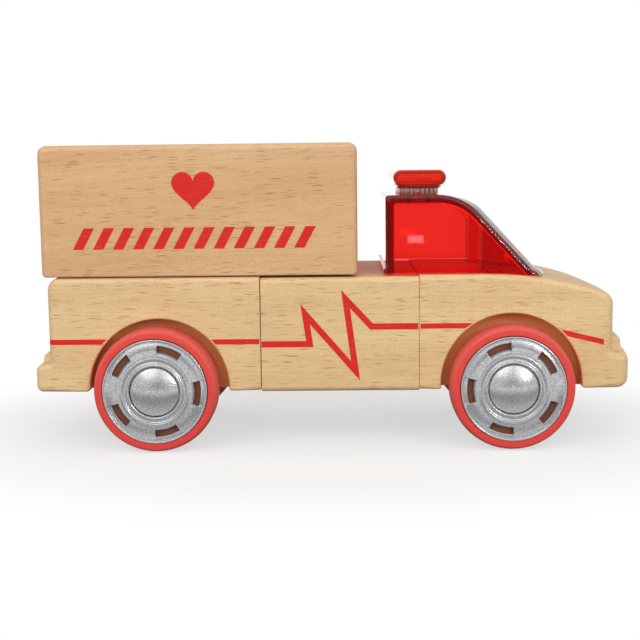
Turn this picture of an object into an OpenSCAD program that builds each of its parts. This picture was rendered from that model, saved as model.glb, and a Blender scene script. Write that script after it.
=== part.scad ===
// Toy ambulance: three wooden blocks that plug together, two axles with soft-tyred
// wheels, a see-through cab top with a light bar, and a wooden box that lifts off.
// Millimetres. The nose points to +X and +Z is up. The origin is on the ground,
// under the middle of the outline.

/* [Body blocks] */
// Width of the wooden blocks
body_w = 46; // [43:0.5:52]
// Height of the wooden blocks
body_h = 25.9; // [24:0.1:32]
// Length of the rear block with its bumper
rear_len = 51.85; // [49:0.05:64]
// Length of the middle block
mid_len = 35.5; // [30:0.5:50]
// Length of the front block with its bumper
front_len = 48.95; // [47:0.05:60]
// Gap between neighbouring blocks
seam_gap = 0.25; // [0.1:0.05:0.5]
// How far the middle block sits below its neighbours
mid_drop = 0.3; // [0.1:0.05:0.6]
// Radius of the blocks' long edges
edge_r = 1.2; // [0.4:0.1:1.6]
// Radius of the edges beside a seam
seam_r = 0.4; // [0.2:0.1:0.8]
// Radius of the top edge at the tail
tail_r = 2.3; // [1:0.1:5]
// Radius of the upright corners at tail and nose
corner_r = 1.8; // [0.8:0.1:4]

/* [Tail and nose] */
// How far the rear bumper stands out from the tail
rear_bumper_depth = 3.2; // [1.5:0.1:5]
// Height of the rear bumper
rear_bumper_h = 5.6; // [4:0.1:8]
// How far the front bumper stands out from the nose
front_bumper_depth = 3.6; // [1.5:0.1:5]
// Height of the front bumper
front_bumper_h = 6.5; // [4:0.1:8]
// Radius of the bumpers' edges
bumper_r = 1.5; // [0.5:0.1:1.8]
// How far the tail curves out at its middle
rear_crown = 0.9; // [0.1:0.1:3]
// How far the nose curves out at its middle
front_crown = 2.4; // [0.1:0.1:4]
// Width of the raised pads above the bumpers
pad_w = 30; // [16:0.5:36]
// Height of the pad above the rear bumper
rear_pad_h = 4.6; // [2:0.1:8]
// Height of the pad above the front bumper
front_pad_h = 6.2; // [2:0.1:8]
// How far the pads stay behind the bumpers' faces
pad_inset = 0.7; // [0.2:0.1:1.3]
// Length of the front block's flat top, before the hood falls
hood_flat = 14.55; // [10:0.05:20]
// Radius of the hood's fall
hood_r = 85; // [60:1:160]
// Radius of the hood's front edge
nose_r = 3; // [1.5:0.1:6]
// How far the hood's front edge turns before it meets the hood
nose_turn = 60; // [40:1:75]

/* [Wheels] */
// Diameter of the tyres
tyre_d = 28; // [26.5:0.5:30]
// Width of the tyres
tyre_w = 8.1; // [7:0.1:9.5]
// Diameter of the tyres' flat side face
tyre_side_d = 26.2; // [25:0.1:26.4]
// Width of the round tread shoulders
shoulder_w = 2.8; // [1:0.1:3.4]
// Diameter of the tyres' bore
tyre_bore_d = 21.4; // [20.8:0.1:22]
// Gap between tyre and pocket floor
tyre_gap = 0.9; // [0.5:0.1:1.5]
// Gap between tread and wheel arch
arch_gap = 1.8; // [1:0.1:2.5]
// Depth of the wheel pockets
pocket_depth = 5; // [4:0.1:6.5]
// Distance from the rear seam to the rear axle
rear_axle_inset = 23.45; // [19:0.05:28]
// Distance from the front seam to the front axle
front_axle_inset = 20.55; // [19:0.05:26]
// Height of the axles above the blocks' underside
axle_lift = 0.7; // [0.2:0.1:2]
// Diameter of the axles
axle_d = 3; // [2:0.1:3.4]
// Width of the plastic bars that carry the axles
carrier_w = 6; // [5:0.1:8]
// How far the carrier bars reach into the wood above the axle
carrier_up = 3.6; // [3:0.1:6]

/* [Hubcaps] */
// Diameter of the hubcaps
rim_d = 23.5; // [22.5:0.1:24.5]
// Width of the rim lip
lip_w = 0.45; // [0.3:0.05:0.8]
// Outer diameter of the round bead
bead_d = 16; // [15:0.1:16.6]
// Height of the bead above the rim
bead_rise = 0.5; // [0.3:0.05:1]
// Diameter of the domed centre caps
cap_d = 11.7; // [9:0.1:12]
// Height of the dome above its edge
dome_h = 1.3; // [0.6:0.1:2]
// Number of slots
slot_count = 5; // [3:1:6]
// Middle diameter of the ring of slots
slot_ring_d = 18.9; // [18.4:0.1:19.6]
// Width of a slot
slot_w = 1.4; // [0.8:0.1:1.8]
// Length of a slot in degrees
slot_arc = 32; // [20:1:42]

/* [Cab top] */
// How far the cab top stays in from the blocks' sides
canopy_inset = 2; // [1.5:0.1:4]
// How far the cab top reaches back over the middle block
canopy_back = 7.55; // [4:0.05:12]
// Height of the cab top above the blocks
canopy_h = 17.7; // [15:0.1:24]
// Wall of the cab top
canopy_wall = 1.65; // [1.2:0.05:2.2]
// Length of the flat roof
roof_len = 11.6; // [11:0.1:16]
// Radius of the curve between roof and windscreen
roof_r = 12; // [8:0.5:15]
// Slope of the windscreen
screen_angle = 47; // [42:1:54]
// How far the windscreen curves out at its middle
screen_bulge = 3.3; // [0.5:0.1:4.5]
// Radius of the cab top's side edges
canopy_edge_r = 0.9; // [0.4:0.1:1.2]
// Height of the foot flange
flange_h = 1.1; // [0.6:0.1:2]
// How far the foot flange stands out
flange_reach = 0.4; // [0.2:0.1:0.8]
// Distance from the front seam to the back of the cheeks inside the cab top
cheek_inset = 14.2; // [12:0.05:18]
// Thickness of each cheek, the side wall included
cheek_w = 11; // [8:0.5:14]
// Diameter of the peg under each cheek
canopy_peg_d = 4; // [3:0.1:5]
// Length of the pegs below the cab top
canopy_peg_len = 4.5; // [3:0.1:6]

/* [Light bar] */
// Distance from the cab top's back to the middle of the light bar
bar_set = 8.05; // [7.5:0.05:8.5]
// Length of the light bar across the roof
bar_len = 29; // [24:0.5:36]
// Width of the light bar
bar_w = 12; // [10:0.1:14]
// Height of the light bar's lens
bar_h = 3.5; // [3:0.1:5]
// Wall of the hollow lens
lens_wall = 0.9; // [0.6:0.1:1.1]
// Height of the clear base between roof and lens
base_h = 2; // [1.5:0.1:4]
// Thickness of the flange under the lens
base_flange_t = 0.55; // [0.3:0.05:0.9]
// How far the base's flange stays in from the lens
base_flange_inset = 0.95; // [0.5:0.05:1.4]
// How far the base's neck stays in from its flange
neck_inset = 0.45; // [0.2:0.05:1]
// Diameter of the round plug in the roof
plug_d = 5.4; // [4:0.1:7]
// How far the plug shows below the roof
plug_show = 0.9; // [0.4:0.1:3]

/* [Box] */
// Length of the box
box_len = 71; // [60:0.5:76]
// Height of the box
box_h = 29.5; // [20:0.5:40]
// How far the box stays in from the tail's bumper
box_inset = 3; // [1:0.1:6]
// Radius of the box's edges
box_r = 1.5; // [0.6:0.1:3]
// Least gap between the box and the cab top
box_clear = 0.6; // [0.4:0.1:2]
// Diameter of the two dowels under the box
dowel_d = 6; // [4:0.1:8]
// Length of the dowels, half in the box
dowel_len = 10; // [6:0.5:14]
// Distance from the rear seam to the front dowel
dowel_inset = 14.5; // [11:0.5:18]
// Distance between the dowels
dowel_pitch = 25; // [12:0.5:28]

/* [Couplers] */
// Width of the coupler tongues
tongue_w = 16; // [10:0.5:22]
// Height of the coupler tongues
tongue_h = 9; // [6:0.5:10]
// Radius of the tongues' edges
tongue_r = 1.5; // [0.5:0.1:2.5]
// How far a tongue reaches into its socket
tongue_len = 8; // [5:0.5:9]
// How far a tongue is rooted in the middle block
tongue_root = 10; // [6:0.5:12]
// Wall of the coupler sockets
socket_wall = 1.2; // [0.8:0.1:2]
// Sliding clearance around a tongue
tongue_clear = 0.1; // [0.05:0.05:0.3]

/* [Fits] */
// Running clearance around the axles
axle_clear = 0.06; // [0.02:0.01:0.1]
// Clearance around pegs, dowels and the light bar's plug
fit_clear = 0.05; // [0.02:0.01:0.1]
// End play between the wheels and the axle carriers
end_play = 0.15; // [0.1:0.05:0.4]
// Gap between the cab top's foot and the blocks
canopy_gap = 0.1; // [0.05:0.05:0.4]
// Spare depth below a peg, dowel or tongue
spare_depth = 0.5; // [0.2:0.1:1.5]

/* [Hidden] */
$fn = 64;

// Overrun that carries every cut past the surface it opens
over = 1;
// Straight steps in one rounded corner, and along a crowned end
arc_steps = 6;
end_steps = 32;

// The middle block carries the box's overhang and the cab top's reach, with a gap between
box_over = box_inset + box_len - rear_len - seam_gap;
mid_real_len = max(mid_len, box_over + box_clear + canopy_back - seam_gap);

// Stations along the length
total_len = rear_len + mid_real_len + front_len + 2 * seam_gap;
rear_x0 = -total_len / 2;
rear_x1 = rear_x0 + rear_len;
mid_x0 = rear_x1 + seam_gap;
mid_x1 = mid_x0 + mid_real_len;
front_x0 = mid_x1 + seam_gap;
front_x1 = front_x0 + front_len;
rear_axle_x = rear_x1 - rear_axle_inset;
front_axle_x = front_x0 + front_axle_inset;
tail_x = rear_x0 + rear_bumper_depth;
nose_x = front_x1 - front_bumper_depth;
hood_x = front_x0 + hood_flat;

// Heights
axle_z = tyre_d / 2;
body_z0 = axle_z - axle_lift;
body_z1 = body_z0 + body_h;
tongue_z = body_z0 + body_h / 2;

// Wheel stations, counted outwards from the middle plane
pocket_floor = body_w / 2 - pocket_depth;
tyre_in = pocket_floor + tyre_gap;
tyre_out = tyre_in + tyre_w;
rim_proud = 0.2;
rim_y = tyre_out + rim_proud;
rim_t = 0.6;
rim_seat = rim_y - rim_t;
cap_drop = 0.1;
cap_seat = rim_seat - cap_drop;
cap_gap = 0.25;
plate_t = 0.6;
boss_end = cap_seat - plate_t;
thrust_t = 0.6;
boss_start = pocket_floor + thrust_t + end_play;
boss_wall = 1.5;
boss_d = axle_d + 2 * boss_wall;
sleeve_wall = 0.9;
sleeve_len = 3.4;
core_in = tyre_in + end_play;
core_rim_t = 0.6;
core_web_t = 1.8;
cone_share = 0.7;
tray_depth = rim_t / 3;
tray_share = 0.92;
axle_half = boss_end - end_play;
arch_r = tyre_d / 2 + arch_gap;

// Turn of the slots on the rear and front wheels, as they stand at rest
rear_slot_turn = 0;
front_slot_turn = -38;

// Cab top, light bar and box stations
canopy_x0 = front_x0 - canopy_back;
canopy_z1 = body_z1 + canopy_h;
canopy_half = body_w / 2 - canopy_inset;
foot_drop = 2.6;
foot_z = body_z1 - foot_drop;
cheek_x = front_x0 + cheek_inset;
peg_x = cheek_x + canopy_peg_d / 2 + canopy_wall / 2;
peg_y = canopy_half - cheek_w / 2;
bar_x = canopy_x0 + bar_set;
lens_z = canopy_z1 + base_h;
bar_round_share = 0.96;
tab_w = bar_w / 2;
tab_len = bar_len - bar_w / 2;
box_x0 = rear_x0 + box_inset;
dowel_xs = [rear_x1 - dowel_inset, rear_x1 - dowel_inset - dowel_pitch];

// Coupler sockets
socket_grow = tongue_clear + socket_wall;
socket_len = tongue_len + spare_depth;

wood = "burlywood";
box_wood = "tan";
red = "red";
plate_grey = "silver";
plug_grey = "gainsboro";

// Points of an arc about centre c, from angle a0 to a1
function arc(c, r, a0, a1) = [
    for (i = [0:arc_steps])
        c + r * [cos(a0 + (a1 - a0) * i / arc_steps), sin(a0 + (a1 - a0) * i / arc_steps)]
];

// A rectangle from corner lo to corner hi with round corners
function round_rect(lo, hi, r) = concat(
    arc([hi.x - r, lo.y + r], r, -90, 0),
    arc([hi.x - r, hi.y - r], r, 0, 90),
    arc([lo.x + r, hi.y - r], r, 90, 180),
    arc([lo.x + r, lo.y + r], r, 180, 270)
);

// How far a crowned end with round corners lies behind its foremost point, at width y
function end_fall(y, half, crown, r) =
    crown * pow(y / half, 2)
    + (abs(y) > half - r ? r - sqrt(max(0, r * r - pow(abs(y) - half + r, 2))) : 0);

// Plan of a bar that ends in a crown at tip; root is its straight end
function crowned_plan(root, tip, half, crown, r) = concat(
    [[root, half], [root, -half]],
    [
        for (i = [0:end_steps])
            let (y = -half * cos(180 * i / end_steps))
            [tip - sign(tip - root) * end_fall(y, half, crown, r), y]
    ]
);

// Carries an outline drawn in X and Z across the width w
module across(w) {
    translate([0, w / 2, 0])
        rotate([90, 0, 0])
            linear_extrude(w)
                children();
}

// Carries an outline drawn in X and Y up from z0 by h
module upright(z0, h) {
    translate([0, 0, z0])
        linear_extrude(h)
            children();
}

// Carries an outline drawn in Y and Z along X, from x0 to x1
module along(x0, x1) {
    translate([x0, 0, 0])
        rotate([90, 0, 90])
            linear_extrude(x1 - x0)
                children();
}

// A shape and its mirror image on the other side
module both_sides() {
    children();
    mirror([0, 1, 0])
        children();
}

// Places a shape drawn about Z onto an axle: its Z runs outwards on that side
module on_axle(x, right) {
    translate([x, 0, axle_z])
        mirror([0, right ? 1 : 0, 0])
            rotate([-90, 0, 0])
                children();
}

// A round bar along Y from y0 to y1
module cross_bar(x, z, y0, y1, r) {
    translate([x, y0, z])
        rotate([-90, 0, 0])
            cylinder(h = y1 - y0, r = r);
}

// Outline of a block across its width, with round long edges
module block_section(z0, h) {
    polygon(round_rect([-body_w / 2, z0], [body_w / 2, z0 + h], edge_r));
}

// A bumper bar from inside the block to its crowned face
module bumper(root, tip, h, crown) {
    lo = min(root, tip);
    hi = max(root, tip);
    intersection() {
        across(body_w)
            polygon(round_rect([lo, body_z0], [hi, body_z0 + h], bumper_r));
        upright(body_z0, h)
            polygon(crowned_plan(root, tip, body_w / 2, crown, corner_r));
    }
}

// The raised pad in the middle of a bumper: its face slopes up and in towards the block
module bumper_pad(root, tip, z_low, h, crown) {
    step = sign(tip - root);
    slope_run = abs(tip - root) / 2;
    intersection() {
        across(pad_w)
            polygon([
                [root, z_low],
                [tip, z_low],
                [tip - step * slope_run / 2, z_low + h - slope_run / 2],
                [tip - step * slope_run, z_low + h],
                [root, z_low + h]
            ]);
        upright(z_low, h)
            polygon(crowned_plan(root, tip, pad_w / 2, crown * pow(pad_w / body_w, 2), corner_r));
    }
}

// Wheel pockets on both sides, and the groove that takes the axle carrier
module wheel_cuts(x) {
    both_sides()
        cross_bar(x, axle_z, pocket_floor, body_w / 2 + over, arch_r);
    translate([x - carrier_w / 2, -body_w / 2, body_z0 - over])
        cube([carrier_w, body_w, axle_z + carrier_up - body_z0 + over]);
}

// Outline of a coupler tongue, grown by g on every side
module tongue_section(g) {
    polygon(round_rect(
        [-tongue_w / 2 - g, tongue_z - tongue_h / 2 - g],
        [tongue_w / 2 + g, tongue_z + tongue_h / 2 + g],
        tongue_r + g
    ));
}

// Rear block: tail with round top edge, bumper and pad
module rear_block() {
    bumper_root = tail_x + rear_bumper_depth + corner_r;
    tail_outline = concat(
        arc([rear_x1 - seam_r, body_z0 + seam_r], seam_r, -90, 0),
        arc([rear_x1 - seam_r, body_z1 - seam_r], seam_r, 0, 90),
        arc([tail_x + tail_r, body_z1 - tail_r], tail_r, 90, 180),
        [[tail_x, body_z0]]
    );
    color(wood)
        difference() {
            union() {
                intersection() {
                    across(body_w)
                        polygon(tail_outline);
                    upright(body_z0, body_h)
                        polygon(crowned_plan(rear_x1, tail_x, body_w / 2, rear_crown, corner_r));
                    along(tail_x, rear_x1)
                        block_section(body_z0, body_h);
                }
                bumper(bumper_root, rear_x0, rear_bumper_h, rear_crown);
                bumper_pad(bumper_root, rear_x0 + pad_inset, body_z0 + rear_bumper_h - bumper_r,
                    rear_pad_h + bumper_r, rear_crown);
            }
            wheel_cuts(rear_axle_x);
            along(rear_x1 - socket_len - seam_gap, rear_x1 + over)
                tongue_section(socket_grow);
            for (x = dowel_xs)
                translate([x, 0, body_z1 - dowel_len / 2 - spare_depth])
                    cylinder(h = dowel_len / 2 + spare_depth + over, d = dowel_d + 2 * fit_clear);
        }
}

// Middle block: a plain bar with a mortise in each end
module mid_block() {
    z0 = body_z0 - mid_drop;
    color(wood)
        difference() {
            intersection() {
                across(body_w)
                    polygon(round_rect([mid_x0, z0], [mid_x1, z0 + body_h], seam_r));
                along(mid_x0, mid_x1)
                    block_section(z0, body_h);
            }
            along(mid_x0 - over, mid_x0 + tongue_root)
                tongue_section(0);
            along(mid_x1 - tongue_root, mid_x1 + over)
                tongue_section(0);
        }
}

// Upper limit of the front block, raised by g: flat top, then the hood's fall
module hood_limit(g) {
    half = body_w / 2;
    along(front_x0 - canopy_back - over, hood_x)
        polygon(round_rect([-half - g, foot_z - body_h], [half + g, body_z1 + g], edge_r + g));
    translate([hood_x, 0, body_z1 - hood_r])
        rotate([-90, 0, 0])
            rotate_extrude($fn = 360)
                polygon(concat(
                    [[0, -half - g], [hood_r / 2, -half - g]],
                    arc([hood_r - edge_r, -half + edge_r], edge_r + g, -90, 0),
                    arc([hood_r - edge_r, half - edge_r], edge_r + g, 0, 90),
                    [[hood_r / 2, half + g], [0, half + g]]
                ));
}

// Front block: falling hood, nose, bumper and pad
module front_block() {
    bumper_root = nose_x - front_bumper_depth - corner_r;
    hood_fall = hood_r - sqrt(hood_r * hood_r - pow(nose_x - hood_x, 2));
    nose_z = body_z1 - hood_fall;
    nose_outline = concat(
        [[nose_x, body_z0]],
        arc([nose_x - nose_r, nose_z - nose_r / 2], nose_r, 0, nose_turn),
        [[nose_x - 2 * nose_r, body_z1], [front_x0 + seam_r, body_z1]],
        arc([front_x0 + seam_r, body_z1 - seam_r], seam_r, 90, 180),
        arc([front_x0 + seam_r, body_z0 + seam_r], seam_r, 180, 270)
    );
    color(wood)
        difference() {
            union() {
                intersection() {
                    across(body_w)
                        polygon(nose_outline);
                    upright(body_z0, body_h)
                        polygon(crowned_plan(front_x0, nose_x, body_w / 2, front_crown, corner_r));
                    hood_limit(0);
                }
                bumper(bumper_root, front_x1, front_bumper_h, front_crown);
                bumper_pad(bumper_root, front_x1 - pad_inset, body_z0 + front_bumper_h - bumper_r,
                    front_pad_h + bumper_r, front_crown);
            }
            wheel_cuts(front_axle_x);
            along(front_x0 - over, front_x0 + socket_len + seam_gap)
                tongue_section(socket_grow);
            for (y = [-peg_y, peg_y])
                translate([peg_x, y, body_z1 - canopy_peg_len - spare_depth])
                    cylinder(h = canopy_peg_len + spare_depth + over, d = canopy_peg_d + 2 * fit_clear);
        }
}

// Coupler tongues, rooted in the middle block
module rear_coupler() {
    color(plug_grey)
        along(mid_x0 - seam_gap - tongue_len, mid_x0 + tongue_root)
            tongue_section(0);
}

module front_coupler() {
    color(plug_grey)
        along(mid_x1 - tongue_root, mid_x1 + seam_gap + tongue_len)
            tongue_section(0);
}

// A coupler socket: a sleeve from its mouth at x0 to its far end at x1
module coupler_socket(x0, x1) {
    color(plug_grey)
        difference() {
            along(x0, x1)
                tongue_section(socket_grow);
            along(x0 - over, x1 + over)
                tongue_section(tongue_clear);
        }
}

module rear_coupler_socket() {
    coupler_socket(rear_x1 - socket_len - seam_gap, rear_x1 - seam_r);
}

module front_coupler_socket() {
    coupler_socket(front_x0 + seam_r, front_x0 + socket_len + seam_gap);
}

// An axle carrier: a bar pressed into the underside, bored for the axle, with a round
// thrust face at each end
module axle_carrier(x) {
    color(plug_grey)
        difference() {
            union() {
                cross_bar(x, axle_z, -pocket_floor, pocket_floor, carrier_w / 2);
                translate([x - carrier_w / 2, -pocket_floor, axle_z])
                    cube([carrier_w, 2 * pocket_floor, carrier_up]);
                cross_bar(x, axle_z, -pocket_floor - thrust_t, pocket_floor + thrust_t, carrier_w / 2);
            }
            cross_bar(x, axle_z, -body_w / 2, body_w / 2, axle_d / 2 + axle_clear);
        }
}

module rear_axle_carrier() {
    axle_carrier(rear_axle_x);
}

module front_axle_carrier() {
    axle_carrier(front_axle_x);
}

module axle(x) {
    color(plate_grey)
        cross_bar(x, axle_z, -axle_half, axle_half, axle_d / 2);
}

module rear_axle() {
    axle(rear_axle_x);
}

module front_axle() {
    axle(front_axle_x);
}

// Inner wheel: a rim for the tyre, a web and a boss pressed on the axle
module wheel_core(x, right) {
    color("firebrick")
        on_axle(x, right)
            difference() {
                union() {
                    translate([0, 0, core_in])
                        difference() {
                            cylinder(h = rim_seat - core_in, d = tyre_bore_d);
                            translate([0, 0, core_web_t])
                                cylinder(h = rim_seat - core_in, d = tyre_bore_d - 2 * core_rim_t);
                        }
                    translate([0, 0, boss_start])
                        cylinder(h = boss_end - boss_start, d = boss_d);
                }
                cylinder(h = rim_y, d = axle_d);
            }
}

// Soft tyre: flat side faces, round shoulders, and a seat for the hubcap's rim
module tyre(x, right) {
    side_r = tyre_side_d / 2;
    tread_r = tyre_d / 2;
    rise = tread_r - side_r;
    seat_r = rim_d / 2 + rim_proud / 2;
    // The shoulder is a quarter of an ellipse between the side face and the tread
    outer_shoulder = [
        for (i = [0:arc_steps])
            let (a = 90 * i / arc_steps)
            [side_r + rise * sin(a), tyre_out - shoulder_w + shoulder_w * cos(a)]
    ];
    inner_shoulder = [
        for (i = [0:arc_steps])
            let (a = 90 * i / arc_steps)
            [side_r + rise * cos(a), tyre_in + shoulder_w - shoulder_w * sin(a)]
    ];
    color(red)
        on_axle(x, right)
            rotate_extrude($fn = 128)
                polygon(concat(
                    [[tyre_bore_d / 2, tyre_in], [tyre_bore_d / 2, rim_seat]],
                    [[seat_r, rim_seat], [seat_r, tyre_out]],
                    outer_shoulder,
                    inner_shoulder
                ));
}

// Hubcap: a sleeve on the boss, a seat for the centre cap, a bead, a cone and a rim lip
module hubcap(x, right, turn) {
    seat_r = cap_d / 2 + cap_gap;
    bead_r = bead_d / 2;
    bead_mid = (seat_r + bead_r) / 2;
    bead_half = (bead_r - seat_r) / 2;
    bead_top = rim_y + bead_rise;
    cone_rise = bead_rise * cone_share;
    lip_r = rim_d / 2 - lip_w;
    lip_fall = rim_proud / 2;
    sleeve_r = boss_d / 2 + sleeve_wall;
    bead = [
        for (i = [0:arc_steps])
            let (a = 180 - 150 * i / arc_steps)
            [bead_mid + bead_half * cos(a), rim_y + (bead_top - rim_y) * sin(a)]
    ];
    slot_mid = slot_ring_d / 2;
    color(plate_grey)
        on_axle(x, right)
            difference() {
                rotate_extrude($fn = 128)
                    polygon(concat(
                        [[0, boss_end], [boss_d / 2, boss_end], [boss_d / 2, boss_end - sleeve_len]],
                        [[sleeve_r, boss_end - sleeve_len], [sleeve_r, boss_end], [seat_r, boss_end]],
                        [[bead_r, rim_seat], [rim_d / 2, rim_seat], [rim_d / 2, rim_y], [lip_r, rim_y]],
                        [[lip_r, rim_y - lip_fall], [bead_r, rim_y + cone_rise]],
                        [for (i = [arc_steps:-1:0]) bead[i]],
                        [[seat_r, cap_seat], [0, cap_seat]]
                    ));
                for (i = [0:slot_count - 1])
                    rotate([0, 0, turn + 360 * i / slot_count])
                        slot_cut(slot_mid, lip_r - lip_w);
            }
}

// One slot: a curved hole, and a shallow tray from it out towards the lip
module slot_cut(r, tray_r) {
    half = slot_arc / 2;
    cone_fall = (bead_rise * cone_share + rim_proud / 2) / (rim_d / 2 - lip_w - bead_d / 2);
    tray_y = rim_y + bead_rise * cone_share - cone_fall * (r - bead_d / 2) - tray_depth;
    upright(boss_end, plate_t + rim_t + over)
        polygon(concat(
            arc([0, 0], r + slot_w / 2, -half, half),
            arc([0, 0], r - slot_w / 2, half, -half)
        ));
    rotate([0, 0, -half * tray_share])
        rotate_extrude(angle = slot_arc * tray_share, $fn = 128)
            polygon([
                [r, tray_y],
                [tray_r, tray_y - cone_fall * (tray_r - r)],
                [tray_r, rim_y + over],
                [r, rim_y + over]
            ]);
}

// Domed centre cap in the hubcap's seat
module centre_cap(x, right) {
    cap_r = cap_d / 2;
    dome_r = (cap_r * cap_r + dome_h * dome_h) / (2 * dome_h);
    dome_half = asin(cap_r / dome_r);
    edge_y = rim_y + rim_proud / 2;
    dome = [
        for (i = [0:arc_steps])
            let (a = dome_half * (1 - i / arc_steps))
            [dome_r * sin(a), edge_y + dome_h - dome_r * (1 - cos(a))]
    ];
    color(plate_grey)
        on_axle(x, right)
            rotate_extrude($fn = 96)
                polygon(concat([[0, cap_seat], [cap_r, cap_seat]], dome));
}

module rear_right_wheel_core() {
    wheel_core(rear_axle_x, true);
}

module rear_left_wheel_core() {
    wheel_core(rear_axle_x, false);
}

module front_right_wheel_core() {
    wheel_core(front_axle_x, true);
}

module front_left_wheel_core() {
    wheel_core(front_axle_x, false);
}

module rear_right_tyre() {
    tyre(rear_axle_x, true);
}

module rear_left_tyre() {
    tyre(rear_axle_x, false);
}

module front_right_tyre() {
    tyre(front_axle_x, true);
}

module front_left_tyre() {
    tyre(front_axle_x, false);
}

module rear_right_hubcap() {
    hubcap(rear_axle_x, true, rear_slot_turn);
}

module rear_left_hubcap() {
    hubcap(rear_axle_x, false, rear_slot_turn);
}

module front_right_hubcap() {
    hubcap(front_axle_x, true, front_slot_turn);
}

module front_left_hubcap() {
    hubcap(front_axle_x, false, front_slot_turn);
}

module rear_right_centre_cap() {
    centre_cap(rear_axle_x, true);
}

module rear_left_centre_cap() {
    centre_cap(rear_axle_x, false);
}

module front_right_centre_cap() {
    centre_cap(front_axle_x, true);
}

module front_left_centre_cap() {
    centre_cap(front_axle_x, false);
}

// Side outline of the cab top, drawn in by d: back, roof, roof curve, windscreen, foot.
// Each point is [x, z, share of the windscreen's bulge].
function canopy_outline(d, low) =
    let (
        back = canopy_x0 + d,
        top = canopy_z1 - d,
        back_r = max(canopy_edge_r, canopy_wall - d),
        turn = [canopy_x0 + roof_len, canopy_z1 - roof_r],
        end = turn + (roof_r - d) * [sin(screen_angle), cos(screen_angle)],
        run = (end.y - low) / tan(screen_angle)
    )
    concat(
        [[back, low, 0]],
        [for (p = arc([back + back_r, top - back_r], back_r, 180, 90)) [p.x, p.y, 0]],
        [
            for (i = [0:arc_steps])
                let (a = screen_angle * i / arc_steps)
                concat(turn + (roof_r - d) * [sin(a), cos(a)], pow(sin(90 * i / arc_steps), 2))
        ],
        [[end.x + run, low, 1]]
    );

// Solid cab top shape, drawn in by d all round, with edges of radius r and its foot at low
module canopy_solid(d, r, low) {
    half = canopy_half - d;
    // Each ring is [width station, how far the outline is drawn in there]
    near = [for (i = [0:3]) let (a = 90 - 30 * i) [-half + r - r * sin(a), r - r * cos(a)]];
    middle = [for (i = [1:9]) [(half - r) * (i / 5 - 1), 0]];
    rings = concat(near, middle, [for (i = [3:-1:0]) [-near[i][0], near[i][1]]]);
    n = len(canopy_outline(d, low));
    points = [
        for (ring = rings)
            for (p = canopy_outline(d + ring[1], low))
                [p[0] + screen_bulge * p[2] * (1 - pow(ring[0] / canopy_half, 2)), ring[0], p[1]]
    ];
    last = n * (len(rings) - 1);
    skin = [
        for (j = [0:len(rings) - 2])
            for (i = [0:n - 1])
                let (a = j * n + i, b = j * n + (i + 1) % n)
                each [[a, a + n, b], [b, a + n, b + n]]
    ];
    polyhedron(points, concat([[for (i = [0:n - 1]) i]], [[for (i = [n - 1:-1:0]) last + i]], skin));
}

// Space of the two cheeks, from their back faces on to the windscreen
module cheek_space() {
    for (side = [0, 1])
        mirror([0, side, 0])
            translate([cheek_x, canopy_half - cheek_w, foot_z])
                cube([nose_x - cheek_x, cheek_w, canopy_h + foot_drop]);
}

// Cab top: a shell with two thick cheeks, a foot flange that follows the hood, and two pegs
module canopy() {
    color(red, 0.6)
        difference() {
            union() {
                difference() {
                    union() {
                        difference() {
                            union() {
                                canopy_solid(0, canopy_edge_r, foot_z);
                                intersection() {
                                    canopy_solid(-flange_reach, canopy_edge_r, foot_z);
                                    flange_slab();
                                }
                            }
                            canopy_solid(canopy_wall, canopy_edge_r / 2, foot_z - over);
                        }
                        intersection() {
                            canopy_solid(canopy_wall / 2, canopy_edge_r / 2, foot_z);
                            cheek_space();
                        }
                    }
                    hood_limit(canopy_gap);
                }
                for (y = [-peg_y, peg_y])
                    translate([peg_x, y, body_z1 - canopy_peg_len])
                        cylinder(h = canopy_peg_len + canopy_gap + flange_h, d = canopy_peg_d);
            }
            translate([bar_x, 0, canopy_z1 - canopy_wall - over])
                cylinder(h = canopy_wall + 2 * over, d = plug_d + 2 * fit_clear);
        }
}

// Space that the foot flange fills: up to its height above the flat top and the hood
module flange_slab() {
    hood_limit(canopy_gap + flange_h);
}

// Outline of the light bar seen from its end, drawn in by d
module bar_section(d) {
    polygon(round_rect(
        [bar_x - bar_w / 2 + d, lens_z + d],
        [bar_x + bar_w / 2 - d, lens_z + bar_h - d],
        bar_round_share * (bar_h / 2 - d)
    ));
}

// Clear base of the light bar: plug, neck, flange and a tab inside the lens
module light_bar_base() {
    flange_w = bar_w - 2 * base_flange_inset;
    flange_len = bar_len - 2 * base_flange_inset;
    neck_w = flange_w - 2 * neck_inset;
    neck_len = flange_len - 2 * neck_inset;
    color("white", 0.5)
        union() {
            translate([bar_x, 0, canopy_z1 - canopy_wall - plug_show])
                cylinder(h = canopy_wall + plug_show + base_h / 2, d = plug_d);
            upright(canopy_z1, base_h - base_flange_t)
                polygon(round_rect(
                    [bar_x - neck_w / 2, -neck_len / 2],
                    [bar_x + neck_w / 2, neck_len / 2],
                    neck_inset
                ));
            upright(lens_z - base_flange_t, base_flange_t)
                polygon(round_rect(
                    [bar_x - flange_w / 2, -flange_len / 2],
                    [bar_x + flange_w / 2, flange_len / 2],
                    neck_inset
                ));
            translate([bar_x - tab_w / 2, -tab_len / 2, lens_z - base_flange_t])
                cube([tab_w, tab_len, base_flange_t + bar_h / 2]);
        }
}

// Red lens of the light bar: a hollow bar with round edges, open below for the base's tab
module light_bar_lens() {
    color(red, 0.8)
        difference() {
            across(bar_len)
                bar_section(0);
            across(bar_len - 2 * lens_wall)
                bar_section(lens_wall);
            translate([bar_x - tab_w / 2, -tab_len / 2, lens_z - over])
                cube([tab_w, tab_len, bar_h / 2 + over]);
        }
}

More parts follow.
